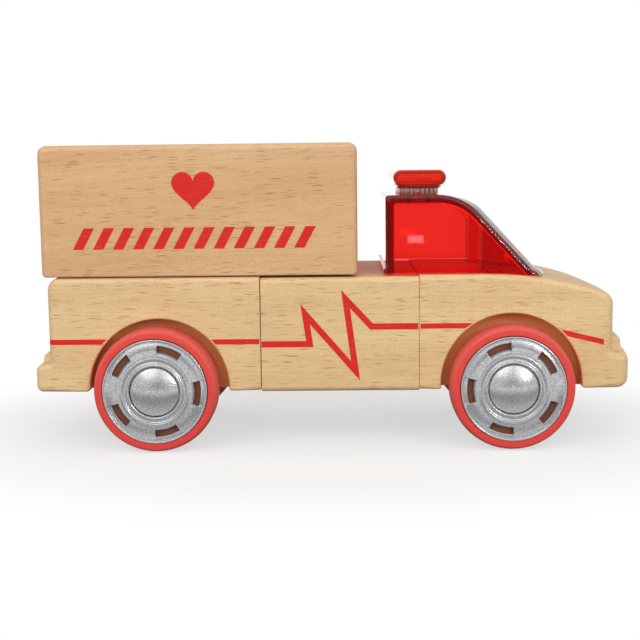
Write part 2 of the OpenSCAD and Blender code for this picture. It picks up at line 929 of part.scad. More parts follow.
// Wooden box, with the holes that its dowels are pressed into
module cargo_box() {
    box_x1 = box_x0 + box_len;
    half = body_w / 2;
    color(box_wood)
        difference() {
            intersection() {
                across(body_w)
                    polygon(round_rect([box_x0, body_z1], [box_x1, body_z1 + box_h], box_r));
                upright(body_z1, box_h)
                    polygon(round_rect([box_x0, -half], [box_x1, half], box_r));
                along(box_x0, box_x1)
                    polygon(round_rect([-half, body_z1], [half, body_z1 + box_h], box_r));
            }
            for (x = dowel_xs)
                translate([x, 0, body_z1 - over])
                    cylinder(h = dowel_len / 2 + over, d = dowel_d);
        }
}

// The two dowels under the box
module box_dowels() {
    color(wood)
        for (x = dowel_xs)
            translate([x, 0, body_z1 - dowel_len / 2])
                cylinder(h = dowel_len, d = dowel_d);
}

rear_block();
mid_block();
front_block();
rear_coupler();
front_coupler();
rear_coupler_socket();
front_coupler_socket();
rear_axle_carrier();
front_axle_carrier();
rear_axle();
front_axle();
rear_right_wheel_core();
rear_left_wheel_core();
front_right_wheel_core();
front_left_wheel_core();
rear_right_tyre();
rear_left_tyre();
front_right_tyre();
front_left_tyre();
rear_right_hubcap();
rear_left_hubcap();
front_right_hubcap();
front_left_hubcap();
rear_right_centre_cap();
rear_left_centre_cap();
front_right_centre_cap();
front_left_centre_cap();
canopy();
light_bar_base();
light_bar_lens();
cargo_box();
box_dowels();
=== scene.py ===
import math

import bmesh
import bpy
import numpy as np
from mathutils import Matrix, Vector


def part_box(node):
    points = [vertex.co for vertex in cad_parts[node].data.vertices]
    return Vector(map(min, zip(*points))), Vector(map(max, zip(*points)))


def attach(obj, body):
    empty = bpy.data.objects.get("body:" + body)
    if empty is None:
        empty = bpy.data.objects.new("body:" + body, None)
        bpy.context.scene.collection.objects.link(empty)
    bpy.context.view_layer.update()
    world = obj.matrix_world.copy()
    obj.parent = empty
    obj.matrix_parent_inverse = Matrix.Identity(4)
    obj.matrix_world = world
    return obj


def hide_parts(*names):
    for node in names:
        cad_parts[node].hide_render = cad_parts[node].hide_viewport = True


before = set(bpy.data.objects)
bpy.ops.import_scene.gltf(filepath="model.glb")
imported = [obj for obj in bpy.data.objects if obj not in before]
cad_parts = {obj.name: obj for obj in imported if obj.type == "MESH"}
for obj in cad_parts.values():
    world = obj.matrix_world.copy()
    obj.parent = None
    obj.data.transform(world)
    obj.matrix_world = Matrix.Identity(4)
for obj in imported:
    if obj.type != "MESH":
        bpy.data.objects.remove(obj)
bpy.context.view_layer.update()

# A wooden toy ambulance: three blocks, a red cab top with a light bar, a box and four wheels.
# Shapes are worked out in millimetres and put into the meshes in metres.
mm = 0.001
scene = bpy.context.scene
scene.view_settings.view_transform = "Standard"
# light is led a long way inside the red cab top's walls, so it may turn often before it is dropped
scene.cycles.max_bounces = scene.cycles.transmission_bounces = 24
scene.cycles.glossy_bounces = 16


def nodeBox(node):
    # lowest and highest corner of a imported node, in millimetres
    low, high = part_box(node)
    return np.array(low) / mm, np.array(high) / mm


rearLow, rearHigh = nodeBox("rear_block")
midLow, midHigh = nodeBox("mid_block")
frontLow, frontHigh = nodeBox("front_block")
boxLow, boxHigh = nodeBox("cargo_box")
rearAxleX, _, axleZ = sum(nodeBox("rear_axle")) / 2
axleLow, axleHigh = nodeBox("front_axle")
frontAxleX = (axleLow[0] + axleHigh[0]) / 2
axleRadius = (axleHigh[2] - axleLow[2]) / 2
half = rearHigh[1]       # half the width of the blocks
blockTop = rearHigh[2]
blockFoot = rearLow[2]
overrun = 5.0            # how far a cutting solid reaches past what it cuts
print("frame loaded, length", round(frontHigh[0] - rearLow[0], 1), "mm")


# Small tools for colours, nodes and meshes

meshing = {
    "merge": 0.002,         # points nearer than this become one
    "thin": 0.001,          # edges shorter than this are taken out
    "flat": 0.3,            # faces within this angle become one, in degrees
    "weight": 60,           # how much large faces count in even shading
}
multiply = {"operation": "MULTIPLY"}
larger = {"operation": "MAXIMUM"}
colourMix = {"data_type": "RGBA"}
sCurve = {"interpolation_type": "SMOOTHSTEP"}


def linear(hexColour):
    # sRGB hex to linear red, green, blue and an alpha of one
    code = np.array([int(hexColour[i:i + 2], 16) for i in (1, 3, 5)]) / 255
    value = np.where(code <= 0.04045, code / 12.92, ((code + 0.055) / 1.055) ** 2.4)
    return (*value.tolist(), 1.0)


def addNode(tree, kind, settings=None, **inputs):
    # one node: its own settings by name, its inputs as numbers, colours, outputs or whole nodes, which
    # give their first output in use. An input's name is written with _ for each space, or as socket0,
    # socket1 by place.
    node = tree.nodes.new("ShaderNode" + kind)
    for name, value in (settings or {}).items():
        setattr(node, name, value)
    for name, value in inputs.items():
        place = int(name[6:]) if name.startswith("socket") else name.replace("_", " ")
        if isinstance(value, bpy.types.Node):
            value = next(output for output in value.outputs if output.enabled)
        if isinstance(value, bpy.types.NodeSocket):
            tree.links.new(value, node.inputs[place])
        else:
            node.inputs[place].default_value = value
    return node


def startMaterial(name):
    # an empty material, its nodes, and the place on the piece that patterns start from
    material = bpy.data.materials.new(name)
    material.use_nodes = True
    tree = material.node_tree
    tree.nodes.clear()
    return material, tree, addNode(tree, "TexCoord").outputs["Object"]


def perMm(x, y, z):
    # how often a pattern repeats in a metre, from the size of one repeat in millimetres
    return (1 / (x * mm), 1 / (y * mm), 1 / (z * mm))


def arcPoints(centre, radius, start, end, count=9):
    # points at even angles on a circle: centre plus radius times cosine and sine
    turn = np.radians(np.linspace(start, end, count))
    return np.column_stack([centre[0] + radius * np.cos(turn), centre[1] + radius * np.sin(turn)])


def roundCorners(low, high, r, first):
    # middle and starting angle of each round corner of a rectangle, from the first angle onwards
    corners = []
    for start in range(first, first + 360, 90):
        turn = math.radians(start + 45)
        outwards = np.array([math.cos(turn), math.sin(turn)])
        corners.append((np.where(outwards > 0, np.array(high) - r, np.array(low) + r), start))
    return corners


def wayAlong(points):
    # how far each point lies along the line through all of them
    return np.append(0, np.cumsum(np.hypot(*np.diff(points, axis=0).T)))


def smooth(value, low, high):
    # 0 below low, 1 above high, and an S curve between them
    share = np.clip((value - low) / (high - low), 0, 1)
    return share * share * (3 - 2 * share)


def gridQuads(index, loopRows=False, loopColumns=False):
    # index is a table of point numbers, and each cell between four of them becomes one quad
    index = np.vstack([index, index[:1]]) if loopRows else index
    index = np.hstack([index, index[:, :1]]) if loopColumns else index
    cells = np.stack([index[:-1, :-1], index[1:, :-1], index[1:, 1:], index[:-1, 1:]], -1)
    return cells.reshape(-1, 4)


def loftFaces(index):
    # quads between rows of point numbers, each row a closed loop, and one face over each end
    return gridQuads(index, loopColumns=True).tolist() + [index[0].tolist(), index[-1].tolist()]


def solidMesh(points, faces):
    # points in millimetres to a mesh in metres, with doubles merged and faces turned outwards
    mesh = bpy.data.meshes.new("solid")
    mesh.from_pydata((np.asarray(points) * mm).tolist(), [], faces)
    shape = bmesh.new()
    shape.from_mesh(mesh)
    bmesh.ops.remove_doubles(shape, verts=shape.verts, dist=meshing["merge"] * mm)
    bmesh.ops.dissolve_degenerate(shape, dist=meshing["thin"] * mm, edges=shape.edges)
    bmesh.ops.triangulate(shape, faces=[face for face in shape.faces if len(face.verts) > 4])
    bmesh.ops.recalc_face_normals(shape, faces=shape.faces)
    shape.to_mesh(mesh)
    shape.free()
    return mesh


def loftedMesh(points):
    # a table of points, each row a closed loop, joined to a solid
    rows, columns = points.shape[:2]
    return solidMesh(points.reshape(-1, 3), loftFaces(np.arange(rows * columns).reshape(rows, columns)))


def prismMesh(outline, axis, start, end):
    # a flat outline carried straight along one axis
    return loftedMesh(np.stack([np.insert(outline, axis, place, axis=1) for place in (start, end)]))


def combine(mesh, others, operation):
    # exact solid arithmetic: mesh with each of the others cut away, added or kept in common
    work = bpy.data.objects.new("work", mesh)
    scene.collection.objects.link(work)
    tools = []
    for other in others:
        tool = bpy.data.objects.new("tool", other)
        scene.collection.objects.link(tool)
        step = work.modifiers.new("step", "BOOLEAN")
        step.operation, step.solver, step.object = operation, "EXACT", tool
        tools.append(tool)
    bpy.context.view_layer.update()
    graph = bpy.context.evaluated_depsgraph_get()
    result = bpy.data.meshes.new_from_object(work.evaluated_get(graph))
    for spent in tools + [work]:
        bpy.data.objects.remove(spent)
    return result


def mergeFlat(mesh):
    # triangles that lie in one plane become one face
    shape = bmesh.new()
    shape.from_mesh(mesh)
    bmesh.ops.dissolve_limit(shape, angle_limit=math.radians(meshing["flat"]), verts=shape.verts,
                             edges=shape.edges)
    shape.to_mesh(mesh)
    shape.free()
    return mesh


def addPiece(name, mesh, body, material, nodes=(), sharp=32, even=False):
    # one finished piece: smooth but for edges sharper than the angle, riding on its body. With even
    # shading, large flat faces keep theirs beside narrow round edges.
    mesh.name = name
    mesh.materials.clear()
    mesh.materials.append(material)
    mesh.polygons.foreach_set("material_index", np.zeros(len(mesh.polygons), np.int32))
    mesh.polygons.foreach_set("use_smooth", np.ones(len(mesh.polygons), bool))
    mesh.set_sharp_from_angle(angle=math.radians(sharp))
    piece = bpy.data.objects.new(name, mesh)
    scene.collection.objects.link(piece)
    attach(piece, body)
    if nodes:
        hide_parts(*nodes)
    if even:
        weighted = piece.modifiers.new("evenShading", "WEIGHTED_NORMAL")
        weighted.keep_sharp, weighted.weight = True, meshing["weight"]
    return piece


# Materials

woodLooks = {
    # endGrainAndRedBounce: darker end grain in the arches, with the tyres' red bounce light painted in
    "blocks": {"pale": "#eacd9b", "deep": "#e0be8b", "fleck": "#b0682e", "endGrainAndRedBounce": "#e8985a", "tilt": 0.0},
    "box": {"pale": "#e2bb8c", "deep": "#d7aa7a", "fleck": "#a8602e", "endGrainAndRedBounce": "#e8985a", "tilt": 3.0},
    "sway": 0.9, "swaySize": (26, 9, 9),     # the grain sways by 0.9 mm over some 26 mm
    # growth bands, pores and fibres: size in millimetres, detail, between which values of the noise they
    # set in, how strongly they show, and in which colour. The last, the fibres, also stand out as dents.
    "layers": [((60, 7, 7), 2.0, (0.3, 0.7), 1.0, "deep"),
               ((0.5, 0.25, 0.25), 1.0, (0.45, 0.75), 0.22, "fleck"),
               ((9, 0.4, 0.4), 2.0, (0.4, 0.8), 0.22, "fleck")],
    # length and width of a cell in millimetres, how much of it a fleck fills, how many cells have
    # none, and the darkest a fleck gets
    "flecks": [(5.2, 0.29, 0.32, 0.2, 0.95), (9.0, 0.55, 0.2, 0.45, 1.0)],
}


def beechFinish(name, look):
    # beech, sanded and clear-lacquered: pale straight grain, darker ray flecks 1 to 4 mm long that
    # lie along the block, and a satin surface. In the wheel arches it takes the darker end grain's
    # colour, painted redder for the red light that the tyres throw on it (painted bounce light)
    material, tree, place = startMaterial(name)
    turned = addNode(tree, "Mapping", Vector=place, Rotation=(0, math.radians(look["tilt"]), 0))
    stretched = addNode(tree, "VectorMath", multiply, socket0=turned, socket1=perMm(*woodLooks["swaySize"]))
    sway = addNode(tree, "TexNoise", Vector=stretched, Scale=1.0, Detail=1.0).outputs["Color"]
    swayMm = woodLooks["sway"] * mm
    lifted = addNode(tree, "VectorMath", {"operation": "MULTIPLY_ADD"}, socket0=sway,
                     socket1=(0, swayMm, swayMm), socket2=turned)
    colour = linear(look["pale"])
    for size, detail, (least, most), strength, hue in woodLooks["layers"]:
        stretched = addNode(tree, "VectorMath", multiply, socket0=lifted, socket1=perMm(*size))
        noise = addNode(tree, "TexNoise", Vector=stretched, Scale=1.0, Detail=detail)
        share = addNode(tree, "MapRange", Value=noise, From_Min=least, From_Max=most, To_Max=strength)
        colour = addNode(tree, "Mix", colourMix, socket0=share, socket6=colour, socket7=linear(look[hue]))
    for length, width, reach, rarity, depth in woodLooks["flecks"]:
        stretched = addNode(tree, "VectorMath", multiply, socket0=lifted,
                            socket1=perMm(length, width, width))
        cells = addNode(tree, "TexVoronoi", Vector=stretched, Scale=1.0, Randomness=1.0)
        dash = addNode(tree, "MapRange", sCurve, Value=cells, From_Min=reach, From_Max=reach / 2)
        chance = addNode(tree, "SeparateColor", Color=cells.outputs["Color"])
        strength = addNode(tree, "MapRange", Value=chance, From_Min=rarity, To_Max=depth)
        fleck = addNode(tree, "Math", multiply, socket0=dash, socket1=strength)
        colour = addNode(tree, "Mix", colourMix, socket0=fleck, socket6=colour,
                         socket7=linear(look["fleck"]))
    # the arch's faces get the end grain's colour, with the tyres' red bounce light painted in
    arch = addNode(tree, "Attribute", {"attribute_name": "arch"}).outputs["Fac"]
    colour = addNode(tree, "Mix", colourMix, socket0=arch, socket6=colour, socket7=linear(look["endGrainAndRedBounce"]))
    dents = addNode(tree, "Bump", Strength=0.1, Distance=0.06 * mm, Height=noise)
    shader = addNode(tree, "BsdfPrincipled", Base_Color=colour, Roughness=0.46, IOR=1.5, Normal=dents)
    addNode(tree, "OutputMaterial", Surface=shader)
    return material


def plainFinish(name, colour, roughness, metallic=0.0, grain=0.0):
    # moulded or drawn stock of one even colour; grain is how strongly a texture of 0.4 mm shows
    material, tree, place = startMaterial(name)
    pits = addNode(tree, "TexNoise", Vector=place, Scale=1 / (0.4 * mm), Detail=2.0)
    bump = addNode(tree, "Bump", Strength=grain, Distance=0.1 * mm, Height=pits)
    shader = addNode(tree, "BsdfPrincipled", Base_Color=linear(colour), Roughness=roughness,
                     Metallic=metallic, Normal=bump)
    addNode(tree, "OutputMaterial", Surface=shader)
    return material


def clearFinish(name, look):
    # polycarbonate, polished: what is behind it shows through, deeper in colour where the light's
    # way through it is longer. Absorption is per metre, body is the share of the plastic that
    # scatters instead of letting through, and shade is what lamps lose in it.
    material, tree, _ = startMaterial(name)
    plastic = addNode(tree, "BsdfPrincipled", Base_Color=linear(look["colour"]), IOR=1.585,
                      Roughness=look["roughness"], Transmission_Weight=1 - look["body"])
    lampLight = addNode(tree, "BsdfTransparent", Color=linear(look["shade"]))
    shadow = addNode(tree, "LightPath").outputs["Is Shadow Ray"]
    mixed = addNode(tree, "MixShader", socket0=shadow, socket1=plastic, socket2=lampLight)
    most = max(look["absorption"])
    tint = [1 - each / most for each in look["absorption"]] + [1]
    inside = addNode(tree, "VolumeAbsorption", Color=tint, Density=most)
    addNode(tree, "OutputMaterial", Surface=mixed, Volume=inside)
    return material


def inkFinish(name, colour, thin):
    # screen-printed ink on wood: flat red, a little thinner over the wood's fibres, which are drawn
    # 3 mm long and 0.5 mm wide
    material, tree, place = startMaterial(name)
    stretched = addNode(tree, "VectorMath", multiply, socket0=place, socket1=perMm(3, 0.5, 0.5))
    fibres = addNode(tree, "TexNoise", Vector=stretched, Scale=1.0, Detail=3.0)
    share = addNode(tree, "MapRange", Value=fibres, From_Min=0.55, From_Max=0.85, To_Max=0.35)
    colours = addNode(tree, "Mix", colourMix, socket0=share, socket6=linear(colour), socket7=linear(thin))
    shader = addNode(tree, "BsdfPrincipled", Base_Color=colours, Roughness=0.6, IOR=1.38)
    addNode(tree, "OutputMaterial", Surface=shader)
    return material


def tyreFinish(name, side, tread):
    # thermoplastic rubber, moulded: smooth side walls, and a matt, paler tread with a grain of 0.55 mm
    material, tree, place = startMaterial(name)
    worn = addNode(tree, "Attribute", {"attribute_name": "tread"}).outputs["Fac"]
    pits = addNode(tree, "TexNoise", Vector=place, Scale=1 / (0.55 * mm), Detail=3.0)
    depth = addNode(tree, "MapRange", Value=worn, To_Min=0.06, To_Max=0.5)
    bump = addNode(tree, "Bump", Strength=depth, Distance=0.15 * mm, Height=pits)
    scuffed = addNode(tree, "MapRange", Value=pits, From_Min=0.3, From_Max=0.7, To_Min=0.4, To_Max=1.6)
    share = addNode(tree, "Math", multiply, socket0=worn, socket1=scuffed)
    colours = addNode(tree, "Mix", colourMix, socket0=share, socket6=linear(side), socket7=linear(tread))
    dull = addNode(tree, "MapRange", Value=worn, To_Min=0.42, To_Max=0.68)
    shader = addNode(tree, "BsdfPrincipled", Base_Color=colours, Roughness=dull, Normal=bump)
    addNode(tree, "OutputMaterial", Surface=shader)
    return material


def platedFinish(name, pale, deep):
    # chrome-plated ABS, satin: a soft grey mirror with a fine sparkle of 0.2 mm, and skin that is
    # slightly uneven at 1.2 mm
    material, tree, place = startMaterial(name)
    grain = addNode(tree, "TexNoise", Vector=place, Scale=1 / (0.2 * mm), Detail=1.0)
    skin = addNode(tree, "TexNoise", Vector=place, Scale=1 / (1.2 * mm), Detail=2.0)
    share = addNode(tree, "MapRange", Value=grain, From_Min=0.32, From_Max=0.68)
    colours = addNode(tree, "Mix", colourMix, socket0=share, socket6=linear(deep), socket7=linear(pale))
    dull = addNode(tree, "MapRange", Value=skin, From_Min=0.3, From_Max=0.7, To_Min=0.18, To_Max=0.28)
    bump = addNode(tree, "Bump", Strength=0.12, Distance=0.05 * mm, Height=grain)
    shader = addNode(tree, "BsdfPrincipled", Base_Color=colours, Metallic=0.86, Roughness=dull, Normal=bump)
    addNode(tree, "OutputMaterial", Surface=shader)
    return material


clearLooks = {
    "red": {"colour": "#ffffff", "absorption": (36, 1200, 1300), "body": 0.0, "shade": "#f0504a",
            "roughness": 0.02},
    "lens": {"colour": "#fb4010", "absorption": (60, 700, 900), "body": 0.3, "shade": "#f06040",
             "roughness": 0.08},
    "clear": {"colour": "#ffffff", "absorption": (40, 55, 58), "body": 0.0, "shade": "#f4f4f4",
              "roughness": 0.03},
}
beech = beechFinish("beech", woodLooks["blocks"])
boxBeech = beechFinish("boxBeech", woodLooks["box"])
redInk = inkFinish("redInk", "#d8261e", "#e0705a")
tyreRubber = tyreFinish("redThermoplasticRubber", "#e0443b", "#e06058")
platedAbs = platedFinish("chromePlatedAbs", "#ececee", "#b8b9bd")
redPolycarbonate = clearFinish("redPolycarbonate", clearLooks["red"])
redLensPolycarbonate = clearFinish("redLensPolycarbonate", clearLooks["lens"])
clearPolycarbonate = clearFinish("clearPolycarbonate", clearLooks["clear"])
naturalNylon = plainFinish("naturalNylon", "#d9d6cc", 0.5)
drawnSteel = plainFinish("drawnSteel", "#b9babd", 0.3, metallic=1.0)
# the wheel core's brown plastic is made darker for the shade inside the hubcap's slots: painted shade
brownAbsSlotShade = plainFinish("brownAbsSlotShade", "#74402a", 0.5, grain=0.2)
print("materials made")


# Wooden blocks

blocks = {
    "edge": 1.2,            # radius of the long edges
    "seam": 0.25,           # radius of the edges beside a seam
    "seamShare": 0.9,       # how much of it the seam's edges draw in at the sides
    "close": 0.11,          # how far the blocks' ends stand into the seams' play
    "tail": 2.9,            # radius of the tail's top edge
    "corner": 1.6,          # radius of the upright corners at tail and nose
    "bumper": 1.5,          # radius of the bumpers' edges
    "bumperShares": (0.9, 0.8),   # how much of it they draw in at the sides, along and upwards
    "chin": 2.4,            # radius of the front bumper's lower edge
    "cove": 0.8,            # radius of the hollow above a bumper
    "archGap": 1.8,         # between tread and wheel arch
    "archEdge": 0.45,       # radius of the arch's edge
    "archSlack": 0.03,      # how far off the arch a face of it may lie
    "footRound": 0.9,       # radius of the arch's foot beside a bumper
    "rearArch": (0.55, 0.0),      # how far the arch's middle lies ahead of and above the axle
    "frontArch": (0.0, 0.6),
    "pocketDepth": 5.0,
    "groove": 1.0,          # how far an axle carrier's groove reaches into the pockets
    "rearBumper": (3.2, 6.2),     # depth and height
    "frontBumper": (3.6, 7.7),
    "rearCrown": 0.9,       # how far the tail curves out at its middle
    "rearFade": (1.0, 9.0),       # where that fades out, ahead of the tail
    "frontCrown": 2.4,
    "frontFade": (9.0, 1.5),      # where it sets in, behind the nose
    "hoodMove": (7.0, 18.0),      # heights above the foot between which the hood's own move sets in
    "padHalf": 17.0,        # half the width of the raised pads on the bumpers
    "padRound": 0.8,        # radius of the pads' sides
    "rearPad": 3.0,         # height of the pad above the bumper
    "frontPad": 3.0,
    # where a pad's line ends on the bumper's upper edge and where the plain edge starts, in degrees
    "padEnd": 58, "bumperStart": 50,
    # the pads' faces from the top: share of the reach and share of the height
    "rearFace": [(0, 0), (0.1, 0.02), (0.25, 0.1), (0.6, 0.34), (0.88, 0.54), (0.97, 0.64), (1, 0.76),
                 (1, 1)],
    "frontFace": [(0, 0), (0.15, 0.0), (0.4, 0.02), (0.55, 0.06), (0.64, 0.12), (0.69, 0.2), (0.72, 0.4),
                  (0.75, 0.64), (0.78, 0.82), (0.83, 0.93), (0.9, 0.97), (1, 1)],
    "hoodFlat": 14.55,      # flat top before the hood falls
    "hoodRadius": 85.0,
    "nose": 3.0,            # radius of the hood's front edge
    "step": 2.5,            # longest straight stretch between two points
}
archRadius = axleZ + blocks["archGap"]
rearArch = np.array([rearAxleX, axleZ]) + blocks["rearArch"]
frontArch = np.array([frontAxleX, axleZ]) + blocks["frontArch"]
pocketFloor = half - blocks["pocketDepth"]
tailX = rearLow[0] + blocks["rearBumper"][0]
noseX = frontHigh[0] - blocks["frontBumper"][0]
hoodX = frontLow[0] + blocks["hoodFlat"]
bumperEdges = [blocks["bumper"] * share for share in blocks["bumperShares"]]


def stretch(points, inner, radius):
    # one row for each point of an outline: the point, where it lies on the side face, the radius of the
    # round edge between the two, 0 for no wheel arch, and where the point lies over the bumper's pad
    count = len(points)
    return np.column_stack([points, inner, np.broadcast_to(radius, count), np.zeros(count), points])


def cornerStretch(centre, r, start, end, edgeX, edgeZ, count=9):
    # a round corner. On the side face it is drawn in by the edges' radii: a part of an ellipse, or just
    # a point where the edges are larger than the corner.
    turn = np.radians(np.linspace(start, end, count))
    way = np.column_stack([np.cos(turn), np.sin(turn)])
    edges = np.array([edgeX, edgeZ])
    sides = np.sign(way[count // 2])
    inner = centre + sides * (r - np.maximum(r, edges)) + np.maximum(r - edges, 0) * way
    return stretch(centre + r * way, inner, np.hypot(*(edges * way).T))


def joinOutline(stretches):
    # the stretches' rows joined into one closed line, with extra rows on straight runs
    line = np.vstack(stretches + [stretches[0][:1]])
    way = wayAlong(line[:, :2])
    marks = np.unique(np.append(way, np.arange(0, way[-1], blocks["step"])))
    marks = marks[np.append(True, np.diff(marks) > 1e-6)][:-1]
    return np.column_stack([np.interp(marks, way, column) for column in line.T])


def carriedBlock(outline, halfWidth, pocket, bend=None):
    # The outline in X and Z is carried across the width. Towards each side it draws in by a quarter
    # of a circle: share = sin t of the way from the side face's line to the outline, and
    # width = half - radius * (1 - cos t). Between the pockets the wheel arch drops to the foot line,
    # which leaves the pockets' back walls, and further in the line moves out to the pad's by sin t.
    line, inner, radius = outline[:, :2], outline[:, 2:4], outline[:, 4]
    arch, padded = outline[:, 5] > 0.99, outline[:, 6:8]
    turn = np.radians(np.linspace(0, 90, 6))[:, None]
    sideLines = inner + (line - inner) * np.sin(turn)[..., None]
    sideWidths = halfWidth - radius * (1 - np.cos(turn))
    dropped, lifted = line.copy(), padded.copy()
    if arch.any():
        dropped[arch] = lifted[arch] = np.linspace(line[arch][0], line[arch][-1], arch.sum())
    padLines = dropped + (lifted - dropped) * np.sin(turn)[..., None]
    padWidths = min(blocks["padHalf"], pocket) - blocks["padRound"] * (1 - np.cos(turn)) + 0 * radius
    level = np.ones((1, len(line)))
    middle = np.linspace(-1, 1, 11)[1:-1, None] * padWidths[-1]
    nearLines = np.concatenate([sideLines, line[None], dropped[None], padLines])
    nearWidths = np.vstack([sideWidths, pocket * level, pocket * level, padWidths])
    lines = np.concatenate([nearLines, np.repeat(lifted[None], len(middle), 0), nearLines[::-1]])
    widths = np.vstack([-nearWidths, middle, nearWidths[::-1]])
    points = np.stack([lines[..., 0], widths, lines[..., 1]], -1)
    return loftedMesh(bend(points) if bend else points)


def rearBend(points):
    # the tail bows: it moves forwards by crown * (y / half) squared, fading out along the block
    x, y, z = np.moveaxis(points, -1, 0)
    start, end = blocks["rearFade"]
    fall = blocks["rearCrown"] * (y / half) ** 2 * (1 - smooth(x, tailX + start, tailX + end))
    return np.stack([x + fall, y, z], -1)


def hoodHeight(x):
    # the hood's circle, whose top is where the flat top ends
    radius = blocks["hoodRadius"]
    return blockTop - radius + np.sqrt(radius ** 2 - np.maximum(x - hoodX, 0) ** 2)


def frontBend(points):
    # the nose bows back by crown * (y / half) squared, and the hood keeps its circle as it moves
    x, y, z = np.moveaxis(points, -1, 0)
    start, end = blocks["frontFade"]
    fall = blocks["frontCrown"] * (y / half) ** 2 * smooth(x, noseX - start, noseX - end)
    rise = hoodHeight(np.minimum(x, noseX) - fall) - hoodHeight(np.minimum(x, noseX))
    low, high = blocks["hoodMove"]
    share = np.clip((z - blockFoot - low) / (high - low), 0, 1)
    return np.stack([x - fall, y, z + rise * share], -1)


def archStretch(middle, rearFoot, frontFoot):
    # the wheel arch from its rear foot over the top to its front foot. Each foot is rounded by a circle
    # that touches the arch and the foot line.
    edge = blocks["archEdge"]
    runs, leans = [], []
    for r in (rearFoot, frontFoot):
        reach, drop = archRadius + r, middle[1] - blockFoot - r
        runs.append(math.sqrt(reach ** 2 - drop ** 2))
        leans.append(math.degrees(math.asin(drop / reach)))
    rear = cornerStretch((middle[0] - runs[0], blockFoot + rearFoot), rearFoot, -90, leans[0], edge, edge)
    front = cornerStretch((middle[0] + runs[1], blockFoot + frontFoot), frontFoot, 180 - leans[1], 270,
                          edge, edge)
    over, inner = (arcPoints(middle, radius, 180 + leans[0], -leans[1], 61)
                   for radius in (archRadius, archRadius + edge))
    rows = np.vstack([rear, stretch(over, inner, edge)[1:-1], front])
    rows[:, 5] = 1
    return rows


def seamStretches(x, outwards, low, high):
    # both small corners beside a seam, from the foot up, or from the top down where outwards is -1
    r = blocks["seam"]
    heights, starts = ((low + r, high - r), (-90, 0)) if outwards > 0 else ((high - r, low + r), (90, 180))
    return [cornerStretch((x - outwards * r, z), r, start, start + 90, r * blocks["seamShare"],
                          blocks["edge"], 5) for z, start in zip(heights, starts)]


def padStretch(faceX, outwards, bumper, height, padFace):
    # from the top of the pad down the block's face, its hollow and the bumper's round edge, and
    # beside it the same number of points down the pad's own face
    depth, bumperHigh = bumper
    r, cove = blocks["bumper"], blocks["cove"]
    edgeX, edgeZ = blocks["corner"], blocks["edge"]
    low = blockFoot + bumperHigh
    upright = np.linspace(low + height, low + cove, 22)[:-1]
    face = np.column_stack([0 * upright, upright])
    hollow = np.radians(np.linspace(180, 270, 6))
    way = np.column_stack([np.cos(hollow), np.sin(hollow)])
    rows = np.vstack([stretch(face, face - [edgeX, 0], edgeX),
                      stretch((cove, low + cove) + cove * way,
                              (cove, low + cove) + way * [cove + edgeX, cove + edgeZ],
                              np.hypot(*(way * [edgeX, edgeZ]).T)),
                      cornerStretch((depth - r, low - r), r, 90, blocks["padEnd"], *bumperEdges, 4)])
    way = wayAlong(rows[:, :2])
    reach, foot = rows[-1, :2]
    across, down = np.array(padFace).T
    steps = wayAlong(np.column_stack([across * reach, down * height]))
    marks = way / way[-1] * steps[-1]
    rows[:, 6] = np.interp(marks, steps, across) * reach
    rows[:, 7] = low + height - np.interp(marks, steps, down) * (low + height - foot)
    rows[:, [0, 2, 6]] = faceX + outwards * rows[:, [0, 2, 6]]
    return rows if outwards < 0 else rows[::-1]


def rearOutline():
    # from the bumper's foot forwards over the arch, up the seam, back over the top and down the tail
    r, tail, start = blocks["bumper"], blocks["tail"], blocks["bumperStart"]
    x = rearLow[0] + r
    upperZ = blockFoot + blocks["rearBumper"][1] - r
    return joinOutline([
        cornerStretch((x, blockFoot + r), r, 180, 270, *bumperEdges),
        archStretch(rearArch, blocks["footRound"], blocks["archEdge"]),
        *seamStretches(rearHigh[0] + blocks["close"], 1, blockFoot, blockTop),
        cornerStretch((tailX + tail, blockTop - tail), tail, 90, 180, blocks["corner"], blocks["edge"]),
        padStretch(tailX, -1, blocks["rearBumper"], blocks["rearPad"], blocks["rearFace"]),
        cornerStretch((x, upperZ), r, 180 - start, 180, *bumperEdges, 6),
    ])


def frontOutline():
    # from the arch forwards to the bumper, up the nose, back over the hood and down the seam. The nose's
    # circle touches the hood's from inside, which gives its height and where they meet.
    r, chin, nose = blocks["bumper"], blocks["chin"], blocks["nose"]
    upperZ = blockFoot + blocks["frontBumper"][1] - r
    hood = blocks["hoodRadius"]
    hoodCentre = (hoodX, blockTop - hood)
    noseRun = noseX - nose - hoodX
    noseZ = hoodCentre[1] + math.sqrt((hood - nose) ** 2 - noseRun ** 2)
    meet = math.degrees(math.atan2(noseZ - hoodCentre[1], noseRun))
    return joinOutline([
        archStretch(frontArch, blocks["archEdge"], blocks["footRound"]),
        cornerStretch((frontHigh[0] - chin, blockFoot + chin), chin, 270, 360, *bumperEdges),
        cornerStretch((frontHigh[0] - r, upperZ), r, 0, blocks["bumperStart"], *bumperEdges, 6),
        padStretch(noseX, 1, blocks["frontBumper"], blocks["frontPad"], blocks["frontFace"]),
        cornerStretch((noseX - nose, noseZ), nose, 0, meet, blocks["corner"], blocks["edge"]),
        cornerStretch(hoodCentre, hood, meet, 90, blocks["edge"], blocks["edge"], 24),
        *seamStretches(frontLow[0] - blocks["close"], -1, blockFoot, blockTop),
    ])


def markArch(mesh, middle):
    # 1 on the faces of the wheel arch: in the pockets, and no further from its middle than its radius
    centres = np.zeros(len(mesh.polygons) * 3)
    mesh.polygons.foreach_get("center", centres)
    x, y, z = centres.reshape(-1, 3).T / mm
    slack = blocks["archSlack"]
    inside = (np.hypot(x - middle[0], z - middle[1]) < archRadius + slack) & (np.abs(y) > pocketFloor - slack)
    mesh.attributes.new("arch", "FLOAT", "FACE").data.foreach_set("value", inside.astype(np.float32))


